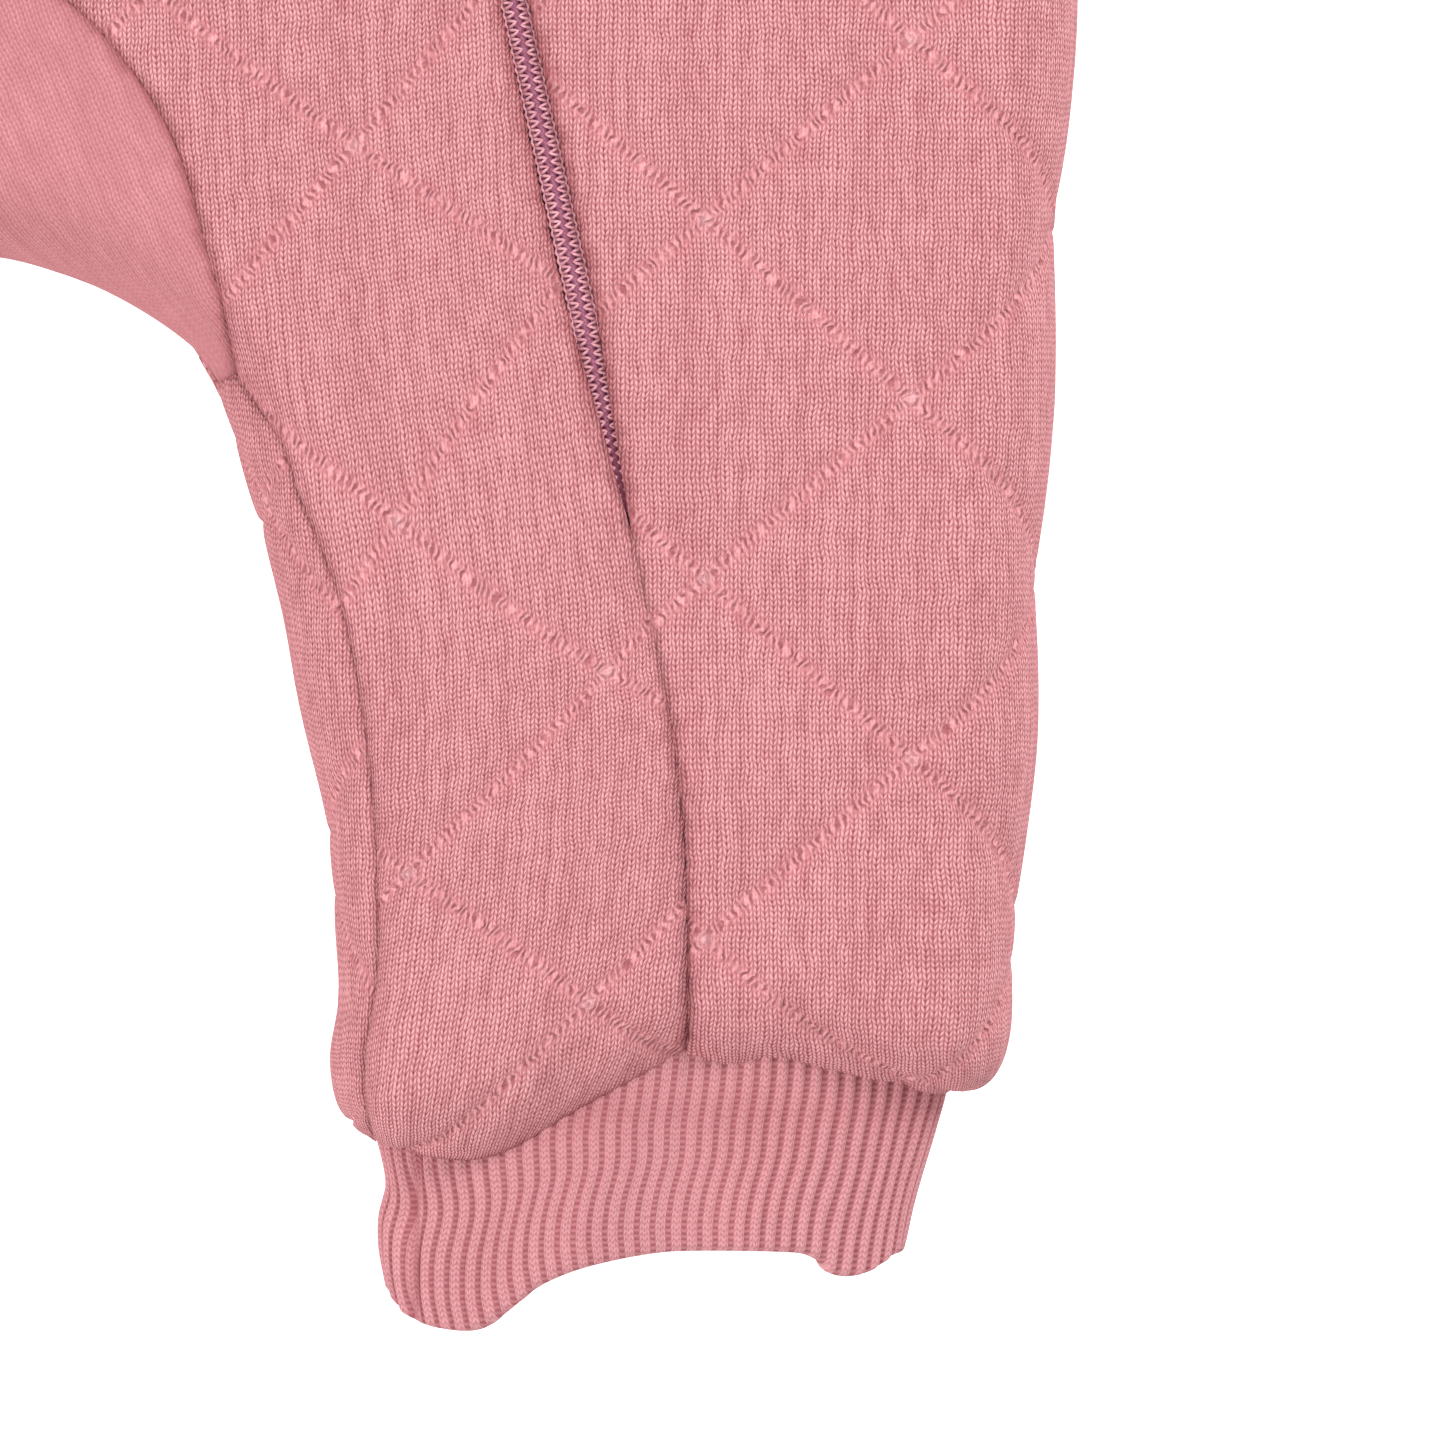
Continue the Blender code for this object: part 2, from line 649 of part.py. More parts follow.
def main():
    for obj in list(bpy.data.objects):
        bpy.data.objects.remove(obj)
    build_body()
    build_ribs()
    build_zip()
    build_trim()


main()
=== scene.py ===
"""The looks of a quilted baby sleeping bag with legs, lying on its back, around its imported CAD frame.

Plan positions below are in millimetres from the crotch: x to the wearer's left, y towards the neck.
Every panel is cut flat, as a dense triangulation of its outline, and is then laid over the bag's form:
a flat top and bottom joined by a rolled edge.
"""

import math

import bmesh
import bpy
import numpy as np
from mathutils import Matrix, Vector
from mathutils.geometry import delaunay_2d_cdt
from mathutils.kdtree import KDTree


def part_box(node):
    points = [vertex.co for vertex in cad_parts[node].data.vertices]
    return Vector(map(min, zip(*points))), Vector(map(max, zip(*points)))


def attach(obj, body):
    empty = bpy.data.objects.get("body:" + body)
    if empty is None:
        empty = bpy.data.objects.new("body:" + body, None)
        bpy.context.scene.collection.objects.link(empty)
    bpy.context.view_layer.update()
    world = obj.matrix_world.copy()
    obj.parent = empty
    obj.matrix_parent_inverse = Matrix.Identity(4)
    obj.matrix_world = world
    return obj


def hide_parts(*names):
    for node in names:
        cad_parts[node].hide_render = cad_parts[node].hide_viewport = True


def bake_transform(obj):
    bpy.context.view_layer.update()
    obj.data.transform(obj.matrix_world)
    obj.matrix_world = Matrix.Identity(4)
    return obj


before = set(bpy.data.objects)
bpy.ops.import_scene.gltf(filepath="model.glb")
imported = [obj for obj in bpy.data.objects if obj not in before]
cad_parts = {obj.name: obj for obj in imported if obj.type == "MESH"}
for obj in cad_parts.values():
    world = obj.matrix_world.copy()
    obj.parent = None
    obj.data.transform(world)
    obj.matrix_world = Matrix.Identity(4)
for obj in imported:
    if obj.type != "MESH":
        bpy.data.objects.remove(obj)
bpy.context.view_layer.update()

MM = 0.001
CUFF_DROP = 159.0  # from the crotch down to the cuff's end
CROTCH_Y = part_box("leg_cuff_left")[0].y / MM + CUFF_DROP
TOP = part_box("front_main_panel")[1].z / MM
MIDDLE = TOP / 2
ROLL = 14.0  # how far in the rolled edge reaches

WALE = 1.17  # the knit's column pitch
COURSE = 0.93  # the knit's row pitch
QUILT_WIDE = 30.25  # half a diamond's width
QUILT_TALL = 27.0  # half a diamond's height


# ---------------------------------------------------------------- plan curves
def smooth(points, spacing, closed=False):
    """A Catmull-Rom curve through the points, resampled to an even spacing."""
    p = np.array(points, float)
    n = len(p)
    spans = n if closed else n - 1
    t = np.linspace(0, 1, 16, endpoint=False)[:, None]
    parts = []
    for i in range(spans):
        if closed:
            a, b, c, d = (p[(i + k - 1) % n] for k in range(4))
        else:
            b, c = p[i], p[i + 1]
            a = p[i - 1] if i else 2 * b - c
            d = p[i + 2] if i + 2 < n else 2 * c - b
        square, cube = 2 * a - 5 * b + 4 * c - d, 3 * b - a - 3 * c + d
        parts.append(b + (c - a) * t / 2 + square * t ** 2 / 2 + cube * t ** 3 / 2)
    parts.append(p[:1] if closed else p[-1:])
    return resample(np.concatenate(parts), spacing)


def resample(line, spacing):
    """The polyline again, with points at an even spacing, ends kept."""
    gaps = np.linalg.norm(np.diff(line, axis=0), axis=1)
    run = np.concatenate([[0], np.cumsum(gaps)])
    count = max(2, int(round(run[-1] / spacing)) + 1)
    at = np.linspace(0, run[-1], count)
    return np.stack([np.interp(at, run, line[:, k]) for k in range(line.shape[1])], axis=1)


def mirrored(line):
    return np.asarray(line, float) * (-1, 1)


def bump(x, middle, width):
    """A smooth hill of height 1 about the middle."""
    return np.exp(-(((x - middle) / width) ** 2))


def step(x, low, high):
    """0 below low, 1 above high, smooth between."""
    t = np.clip((x - low) / (high - low), 0, 1)
    return t * t * (3 - 2 * t)


LEFT_SIDE = [
    (14, -3), (25, -8.5), (34.8, -16.5), (37.8, -24), (42.3, -39), (46.8, -54), (49.7, -69), (52.7, -84),
    (54.3, -100), (55.4, -112), (54.2, -122), (55.5, -130), (60, -134.2), (67, -136.5), (75, -137),
    (82.5, -134.6), (93, -128.6), (101, -124.8), (107.7, -122.6), (115, -123), (121, -122.2), (130, -124.2),
    (140, -126.4), (147, -127), (152.6, -124.8), (155.6, -118), (156.8, -106), (158, -90), (159.6, -72),
    (160.4, -50), (162, -24), (163, 0), (164.6, 20), (166, 45), (167.5, 90), (166.5, 140), (161, 200),
    (154, 240), (149, 280), (143, 350), (131, 412), (104, 428), (64, 438), (51, 456), (46, 480), (16, 488),
]
OUTLINE = smooth([(0, 0), *LEFT_SIDE, *reversed(mirrored(LEFT_SIDE).tolist())], 0.5, closed=True)[:-1]

ZIP_FOOT = np.array((99.3, -42.75))
ZIP_LEAN = 0.2214  # how far the zip leans to the right for each step up
ZIP_ALONG = np.array((-ZIP_LEAN, 1.0)) / math.hypot(ZIP_LEAN, 1)
ZIP_ACROSS = np.array((ZIP_ALONG[1], -ZIP_ALONG[0]))
ZIP_TOP = 474.0
FOLD_TOP = np.array((33.0, 432.0))

ARMHOLE = [(150.5, 270), (143, 275), (121, 292), (106, 325), (100, 370), (101, 410), (102, 431)]
INSEAM = [(39.2, -18.5), (42.8, -23.7), (46.6, -29.5), (49.1, -37), (53.7, -48.2), (57.2, -61), (59.5, -75.5),
          (60.6, -91.5), (60.8, -107), (59.1, -118.8), (58.8, -127), (60.2, -135)]
LEG_SEAM = [(99.3, -42.75), (101.2, -51), (102.8, -58.5), (105.4, -72), (107, -87), (107.6, -102),
            (107.7, -124)]
GUSSET_SIDE = [(39.2, -18.5), (37.5, -8.6), (35.6, -0.8), (33.2, 8.8), (30.3, 17), (26, 24.5), (20.3, 31.8),
               (15.5, 36.6), (8, 42.5), (0, 46)]


def zip_middle(y):
    """How far to the side the zip's middle is at a height on the bag."""
    return ZIP_FOOT[0] - ZIP_LEAN * (y - ZIP_FOOT[1])


def front_neck(x):
    return 405 + 33 * (np.abs(x) / 52) ** 2.2


def back_neck(x):
    return 432 + 8 * (x / 50) ** 2


# ---------------------------------------------------------------- the bag's form
def tree_of(points):
    """A search tree of plan points."""
    tree = KDTree(len(points))
    for number, point in enumerate(points):
        tree.insert((*point, 0), number)
    tree.balance()
    return tree


TURN = np.linspace(0, math.pi / 2, 200)
ARC = np.concatenate([[0], np.cumsum(np.hypot(
    ROLL * np.diff(1 - np.cos(TURN)), MIDDLE * np.diff(np.sin(TURN))))])
SPARE = ARC[-1] - ROLL  # how much further the cloth reaches than the flat outline

EDGE = np.roll(OUTLINE, -1, axis=0) - np.roll(OUTLINE, 1, axis=0)
EDGE /= np.linalg.norm(EDGE, axis=1)[:, None]
INWARD = np.stack([-EDGE[:, 1], EDGE[:, 0]], axis=1)
OUTLINE_TREE = tree_of(OUTLINE)


def edge_of(points):
    """For each plan point: the outline's nearest point, the way inward, and how far inside the point is."""
    near = np.array([OUTLINE_TREE.find((x, y, 0))[1] for x, y in points])
    foot, inward, along = OUTLINE[near], INWARD[near], EDGE[near]
    slip = ((points - foot) * along).sum(1)
    foot = foot + along * np.clip(slip, -0.3, 0.3)[:, None]
    gap = points - foot
    depth = (gap * inward).sum(1)
    length = np.linalg.norm(gap, axis=1)
    towards = gap * np.sign(depth)[:, None] / np.maximum(length, 1e-9)[:, None]
    direction = np.where(length[:, None] > 0.4, towards, inward)
    return foot, direction, np.where(length > 0.4, length * np.sign(depth), depth)


def unroll(points):
    """Flat cloth positions of plan points: those on the rolled edge move out by the cloth they take up."""
    points = np.asarray(points, float)
    foot, inward, depth = edge_of(points)
    turn = np.arccos(np.clip(1 - np.clip(depth, 0, ROLL) / ROLL, -1, 1))
    reach = np.interp(turn, TURN, ARC) - SPARE
    flat = foot + inward * reach[:, None]
    return np.where((depth < ROLL)[:, None], flat, points)


def form(cloth):
    """Where flat cloth lies on the form's upper half: plan position, height over the middle, the way out."""
    foot, inward, depth = edge_of(cloth)
    used = np.clip(depth + SPARE, 0, ARC[-1])
    turn = np.interp(used, ARC, TURN)
    rolled = (depth < ROLL)[:, None]
    plan = np.where(rolled, foot + inward * (ROLL * (1 - np.cos(turn)))[:, None], cloth)
    sideways = np.where(rolled, -inward * (np.cos(turn) / ROLL)[:, None], 0)
    out = np.concatenate([sideways, (np.sin(turn) / MIDDLE)[:, None]], axis=1)
    out /= np.linalg.norm(out, axis=1)[:, None]
    return plan, MIDDLE * np.sin(turn), out


# ---------------------------------------------------------------- the cloth's grain and quilting
def grain_left(x, y):
    """The left front is cut straight: columns run up the leg."""
    return (x - 110.25) * QUILT_WIDE / 31, (y - 4.6)


def grain_main(x, y):
    """The main front: its columns lean along the zip and straighten to the hem, its rows rise to the zip."""
    across = x - 56.5 - 10 * bump(y, -74, 62)
    lift = y - 0.12 * (x - 40 + np.hypot(x - 40, 20))
    lift = lift + 6 * bump(lift, -70, 28)
    return across * QUILT_WIDE / 29.5, (lift + 44.1) * QUILT_TALL / 27.3


def grain_back(x, y):
    return x - 8, y + 12


def grain_gusset(x, y):
    """The gusset is cut on the slant."""
    turn = math.radians(24)
    return x * math.cos(turn) + y * math.sin(turn), y * math.cos(turn) - x * math.sin(turn)


def quilt_distance(p, q):
    """Distance to the nearest line of each of the two families of quilting lines."""
    width = QUILT_WIDE * QUILT_TALL / math.hypot(QUILT_WIDE, QUILT_TALL)
    first, second = p / QUILT_WIDE + q / QUILT_TALL, p / QUILT_WIDE - q / QUILT_TALL
    return [np.abs(v - 2 * np.round(v / 2)) * width for v in (first, second)]


def distance_to(points, line):
    """Distance from each point to a polyline."""
    best = np.full(len(points), 1e9)
    for a, b in zip(line, line[1:]):
        ab = b - a
        t = np.clip(((points - a) @ ab) / max(ab @ ab, 1e-9), 0, 1)
        best = np.minimum(best, np.linalg.norm(points - a - t[:, None] * ab, axis=1))
    return best


def waves(x, y, size, seed):
    """Gentle random hills, from -1 to 1, as a sum of a few plane waves of about that size."""
    rng = np.random.default_rng(seed)
    total = np.zeros_like(x)
    for _ in range(7):
        turn, phase, stretch = rng.uniform(0, 2 * math.pi), rng.uniform(0, 2 * math.pi), rng.uniform(0.7, 1.5)
        total += np.sin((x * math.cos(turn) + y * math.sin(turn)) * 2 * math.pi / (size * stretch) + phase)
    return total / 3.2


# ---------------------------------------------------------------- cutting and laying a panel
def inside(points, loop):
    """Which points lie inside a closed polyline."""
    x, y = points[:, 0], points[:, 1]
    result = np.zeros(len(points), bool)
    for (ax, ay), (bx, by) in zip(loop, np.roll(loop, -1, axis=0)):
        if ay != by:
            crosses = (ay > y) != (by > y)
            result ^= crosses & (x < (bx - ax) * (y - ay) / (by - ay) + ax)
    return result


def triangulate(loop, spacing):
    """A dense, even triangulation of a flat outline: staggered rows, joined to the outline's points."""
    loop = resample(np.concatenate([loop, loop[:1]]), spacing * 0.8)[:-1]
    low, high = loop.min(0), loop.max(0)
    rows = np.arange(low[1], high[1], spacing * 0.866)
    columns = np.arange(low[0], high[0], spacing)
    x, y = np.meshgrid(columns, rows)
    x = x + (np.arange(len(rows)) % 2)[:, None] * spacing / 2
    grid = np.stack([x.ravel(), y.ravel()], axis=1)
    grid = grid[inside(grid, loop)]
    tree = tree_of(loop)
    clear = np.array([tree.find((a, b, 0))[2] > spacing * 0.55 for a, b in grid])
    points = np.concatenate([loop, grid[clear]])
    verts, _, faces, *_ = delaunay_2d_cdt([Vector(p) for p in points], [], [list(range(len(loop)))], 1, 1e-5)
    return np.array([tuple(v) for v in verts]), [tuple(f) for f in faces]


def lay(cloth, upper, relief, swelling):
    """Positions in the frame of flat cloth laid on the upper or lower half of the form."""
    plan, rise, out = form(cloth)
    place = np.column_stack([plan, MIDDLE + rise * (1 + swelling)]) + out * relief[:, None]
    if not upper:
        place[:, 2] = TOP - place[:, 2]
    return place


def to_frame(place):
    return (place + (0, CROTCH_Y, 0)) * MM


def place_in_scene(thing):
    bpy.context.scene.collection.objects.link(thing)
    return thing


def mesh_piece(name, verts, faces, uv=None, values=None):
    """A mesh object from arrays; uv is per vertex, in metres of cloth, and values are by name."""
    mesh = bpy.data.meshes.new(name)
    mesh.from_pydata(np.asarray(verts).tolist(), [], [tuple(int(i) for i in f) for f in faces])
    mesh.shade_smooth()
    loops = np.zeros(len(mesh.loops), int)
    mesh.loops.foreach_get("vertex_index", loops)
    if uv is not None:
        layer = mesh.uv_layers.new(name="cloth")
        layer.data.foreach_set("uv", np.asarray(uv, np.float32)[loops].ravel())
    for key, value in (values or {}).items():
        mesh.attributes.new(key, "FLOAT", "POINT").data.foreach_set("value", np.asarray(value, np.float32))
    return place_in_scene(bpy.data.objects.new(name, mesh))


def flip(faces):
    return [tuple(reversed(f)) for f in faces]


def tidy_mesh(piece):
    """Joins points that meet along a seam within one piece."""
    shape = bmesh.new()
    shape.from_mesh(piece.data)
    bmesh.ops.remove_doubles(shape, verts=shape.verts, dist=0.02 * MM)
    shape.to_mesh(piece.data)
    shape.free()


# ---------------------------------------------------------------- relief and swell
def swell(plan):
    """How the filled bag rises and sinks, as a share of its half thickness; the hem hangs in two lobes."""
    x, y = plan[:, 0], plan[:, 1]
    x = np.abs(x)
    soft = 0.035 * waves(plan[:, 0], y, 95, 3) + 0.012 * waves(plan[:, 0], y, 38, 5)
    inner_lobe = 0.10 * bump(x, 74, 17) * bump(y, -122, 15)
    fold = -0.16 * bump((x - 88) * 0.86 + (y + 126) * -0.5, 0, 3.2) * bump(y, -125, 11) * step(x, 72, 84)
    outer_dip = -0.07 * bump(x, 121, 9) * bump(y, -122, 9)
    by_zip = 0.03 * bump(x - zip_middle(y), 14, 16) * step(y, -60, 20)
    low_leg = -0.05 * bump(x, 112, 7) * step(-y, 70, 115)
    return soft + inner_lobe + fold + outer_dip + by_zip + low_leg


def puff(p, q, high):
    """The filling's rise between the quilting lines."""
    first, second = quilt_distance(p, q)
    near = np.minimum(first, second)
    line = 0.75 * np.exp(-(near / 1.1) ** 2)
    return high * (1 - np.exp(-first / 6)) * (1 - np.exp(-second / 6)) * 2.2 - line


def tuck(gap, width, depth):
    """How far the cloth rolls down towards a seam that is gap away."""
    t = np.clip(1 - gap / width, 0, 1)
    return -depth * (1 - np.sqrt(np.maximum(1 - t * t, 0)))


def up_zip(points):
    return (points - ZIP_FOOT) @ ZIP_ALONG


# ---------------------------------------------------------------- outlines of the panels
def snap(point):
    """The outline's index nearest to a plan point."""
    return OUTLINE_TREE.find((*point, 0))[1]


def outline_part(start, end):
    """The outline's points from near one plan point to near another, the way it runs: out along the left leg,
    up the left side, across the collar and down the right side."""
    i, j = snap(start), snap(end)
    if j < i:
        j += len(OUTLINE)
    return OUTLINE[np.arange(i, j + 1) % len(OUTLINE)]


def tucked_hem(line, inset):
    """The hem's edge, drawn in under the bag where the cuff comes out of it."""
    wide = np.clip(1 - np.abs((np.abs(line[:, 0]) - 103.4) / 42.5) ** 3, 0, 1)
    low = step(-line[:, 1], 112, 119)
    inward = INWARD[[snap(p) for p in line]]
    return line + inward * (inset * wide * low)[:, None]


def zip_edge(side, half):
    """A front panel's edge along the zip, from its foot up; it closes over the chain near the foot."""
    run = np.linspace(0, ZIP_TOP, 300)
    line = ZIP_FOOT + ZIP_ALONG * run[:, None] + ZIP_ACROSS * (side * np.minimum(0.055 * run, half))[:, None]
    return line[line[:, 1] < front_neck(line[:, 0])]


def joined(*parts):
    """One closed loop from open parts, without doubled corners."""
    line = np.concatenate([np.asarray(p, float) for p in parts])
    gap = np.linalg.norm(line - np.roll(line, 1, axis=0), axis=1)
    return line[gap > 0.05]


ARM = smooth(ARMHOLE, 1.0)
INNER = smooth(INSEAM, 1.0)
LEG = smooth(LEG_SEAM, 1.0)
CROSSING = (36.6, -20.8)  # where the gusset's seam goes over the crotch's edge
HALF_GUSSET = smooth(GUSSET_SIDE, 1.0)
GUSSET = np.concatenate([HALF_GUSSET, mirrored(HALF_GUSSET)[::-1][1:]])
HEM_IN = (60.2, -134.4)
SHOULDER_OUT, SHOULDER_IN = (102.5, 428.5), (52.3, 441)
INNER = INNER[INNER[:, 1] > -133.5]
LEG = LEG[LEG[:, 1] > -121.0]
MAIN_EDGE = zip_edge(-1, 1.88)
LEFT_EDGE = zip_edge(1, 1.95)


def neck_line(start, end, height):
    x = np.linspace(start, end, 60)
    return np.column_stack([x, height(x)])


def main_loop():
    hem = tucked_hem(outline_part(HEM_IN, LEG_SEAM[-1]), 1.3)
    right_side = mirrored(tucked_hem(outline_part(HEM_IN, ARMHOLE[0]), 1.3))
    shoulder = mirrored(outline_part(SHOULDER_OUT, SHOULDER_IN))
    neck = neck_line(-51.5, MAIN_EDGE[-1, 0], front_neck)
    return joined(MAIN_EDGE[::-1], LEG, hem[::-1], INNER[::-1], GUSSET, mirrored(INNER), right_side,
                  mirrored(ARM), shoulder, neck)


def left_loop():
    hem_and_side = tucked_hem(outline_part(LEG_SEAM[-1], ARMHOLE[0]), 1.3)
    shoulder = outline_part(SHOULDER_OUT, SHOULDER_IN)
    neck = neck_line(51.5, LEFT_EDGE[-1, 0], front_neck)
    return joined(LEFT_EDGE[::-1], LEG, hem_and_side, ARM, shoulder, neck)


def back_loop():
    crossing = OUTLINE[snap(CROSSING)][None]
    leg = tucked_hem(outline_part(CROSSING, ARMHOLE[0]), 5.0)
    half = [crossing, leg, ARM, outline_part(SHOULDER_OUT, SHOULDER_IN)]
    neck = neck_line(51, -51, back_neck)
    left = np.concatenate(half)
    return joined(left, neck, mirrored(left)[::-1], GUSSET[::-1])


def gusset_loop():
    half = outline_part((0, 0), CROSSING)
    return joined(mirrored(half)[::-1], half[1:], GUSSET)


def wrap_loop():
    outer = tucked_hem(outline_part(CROSSING, HEM_IN), 1.3)
    return joined(outer, INNER[::-1])


# ---------------------------------------------------------------- building the quilted shell
LINING_WALL = 4.6  # from the cloth's outside to the lining's inside
# each seam with how firmly it pulls the cloth in
SEAMS = [(INNER, 0.45), (mirrored(INNER), 0.45), (LEG, 0.95), (GUSSET, 0.7), (ARM, 0.7), (mirrored(ARM), 0.7),
         (neck_line(-52, 52, front_neck), 0.7)]
BACK_SEAMS = [(GUSSET, 0.7), (ARM, 0.7), (mirrored(ARM), 0.7), (neck_line(-52, 52, back_neck), 0.7)]


def panel_relief(cloth, grain, seams, zip_line=None, lip=0.0, high=1.0, quilted=True):
    """The cloth's rise over the form: filled between the quilting, rolled down at the seams and the zip."""
    plan, _, _ = form(cloth)
    p, q = grain(*cloth.T)
    relief = puff(p, q, high) if quilted else 0.25 * waves(cloth[:, 0], cloth[:, 1], 22, 11)
    # painted shade: the colour is darkened near the seams and the zip's edges, where the cloth rolls down
    # into shade
    painted_shade = np.zeros(len(cloth))
    for seam, firm in seams:
        gap = distance_to(plan, seam)
        if seam is LEG:
            firm = firm - 0.5 * step(plan[:, 1], -110, -60)  # it fades out up towards the zip
        relief = relief * step(gap, -1, 5) + tuck(gap, 1.9, 1.0) * firm
        painted_shade = np.maximum(painted_shade, np.exp(-gap / 0.7) * firm)
    if zip_line is not None:
        gap = distance_to(plan, zip_line)
        deep = 0.8 + 2.3 * step(up_zip(plan), 0, 40)
        relief = relief * step(gap, -1, 7) + tuck(gap, 1.8, 1) * deep + lip * bump(gap, 2.6, 2.4)
        painted_shade = np.maximum(painted_shade, np.exp(-gap / 0.8))
        run = up_zip(plan)
        pressed = bump((plan - ZIP_FOOT) @ ZIP_ACROSS, 0, 4.5) * step(run, -24, -12) * (1 - step(run, 14, 26))
        relief = relief * (1 - pressed) - pressed  # where the pull tab comes to lie when the zip is open
    return relief, painted_shade


def cut_panel(loop, grain, seams, upper=True, spacing=1.7, **details):
    """A panel's verts, faces, cloth coordinates and painted shade values."""
    cloth, faces = triangulate(unroll(loop), spacing)
    relief, painted_shade = panel_relief(cloth, grain, seams, **details)
    plan, _, _ = form(cloth)
    verts = to_frame(lay(cloth, upper, relief, swell(plan)))
    p, q = grain(*cloth.T)
    return verts, faces if upper else flip(faces), np.column_stack([p, q]) * MM, painted_shade


def assemble(name, cuts):
    """One piece from several cut panels that meet along their edges."""
    verts, faces, uv, painted_shade, base = [], [], [], [], 0
    for v, f, t, c in cuts:
        verts.append(v)
        faces += [tuple(i + base for i in face) for face in f]
        uv.append(t)
        painted_shade.append(c)
        base += len(v)
    values = {"painted_shade": np.concatenate(painted_shade)}
    piece = mesh_piece(name, np.concatenate(verts), faces, np.concatenate(uv), values)
    if len(cuts) > 1:
        tidy_mesh(piece)
    return piece


def thicken(piece, outer, inner, thickness=LINING_WALL):
    """The sandwich of shell, filling and lining: the outer face's material, and the inner face's."""
    piece.data.materials.append(outer)
    piece.data.materials.append(inner)
    solid = piece.modifiers.new("filling", "SOLIDIFY")
    solid.thickness = thickness * MM
    solid.offset = -1
    solid.material_offset = 1
    solid.material_offset_rim = 0


# ---------------------------------------------------------------- ribs
def grid_faces(rows, columns, wrap=True, base=0):
    """Quads of a grid, row after row; wrap joins its last column to the first."""
    faces = []
    for r in range(rows - 1):
        this, above = base + r * columns, base + (r + 1) * columns
        for c in range(columns if wrap else columns - 1):
            d = (c + 1) % columns
            faces.append((this + c, this + d, above + d, above + c))
    return faces


def band_piece(name, verts, faces, uv, painted_shade):
    """A mesh object from the rows of a band, given in millimetres."""
    values = {"painted_shade": np.concatenate(painted_shade)}
    return mesh_piece(name, to_frame(np.concatenate(verts)), faces, np.concatenate(uv) * MM, values)


def band_lift(run, pitch, t, deep, width):
    """What raises a folded band at a distance t out from its seam: its ribs, and a slight crown."""
    ribs = BAND_DEEP * (rib_wave(run, pitch) - 0.5) * (1 if deep < BAND_WALL / 2 else -1)
    return ribs, 0.5 * math.sin(math.pi * min(t / width, 1))


def rib_wave(run, pitch):
    """Height of the ribs across a rib knit, 0 in the furrow and 1 on the rib."""
    t = 0.5 + 0.5 * np.cos(2 * math.pi * run / pitch)
    return t ** 0.5


RIB = 2.5  # pitch of the ribs
RIB_DEEP = 0.75  # from the furrow to the rib
BAND_DEEP = 0.8 * RIB_DEEP  # the same on the armhole bands and the collar
BAND_WALL = 2.4
ARM_BAND = 11.5  # how wide the folded armhole band is
COLLAR = 17.5  # how wide the folded collar is


CUFF_LEFT = smooth([(60.6, -112), (60.2, -130), (60.4, -136), (61.8, -142.5), (60.8, -149), (60.9, -154.5),
                    (61.8, -158)], 1.0)
CUFF_RIGHT = smooth([(147.6, -112), (147, -126), (145.2, -134), (142.9, -142), (141.6, -147),
                     (140.6, -152)], 1.0)
CUFF_END = smooth([(61, -154.5), (64.2, -159.4), (69, -161.4), (75.5, -161.5), (80.7, -157.9), (85.5, -154.5),
                   (93.4, -151.7), (106, -149.7), (122.5, -149.7), (127.6, -150.7), (130, -153),
                   (133.2, -153.6), (136.6, -152.6), (140.5, -149.6)], 0.5)
CUFF_RIBS = 76
CUFF_WALL = 2.6
CUFF_JOIN = 66.0  # the cuff's own seam, from the bag's middle
CUFF_START = -112.0  # where the cuff begins, inside the leg


def at_share(line, share):
    """The point a share of the way along a polyline with even steps."""
    k = share * (len(line) - 1)
    i = min(int(k), len(line) - 2)
    return line[i] + (line[i + 1] - line[i]) * (k - i)


def flattened_ring(columns, power):
    """A ring between an ellipse and a rectangle, from -1 to 1 both ways."""
    angle = 2 * math.pi * np.arange(columns) / columns
    c, s = np.cos(angle), np.sin(angle)
    return np.sign(c) * np.abs(c) ** (2 / power), np.sign(s) * np.abs(s) ** (2 / power)


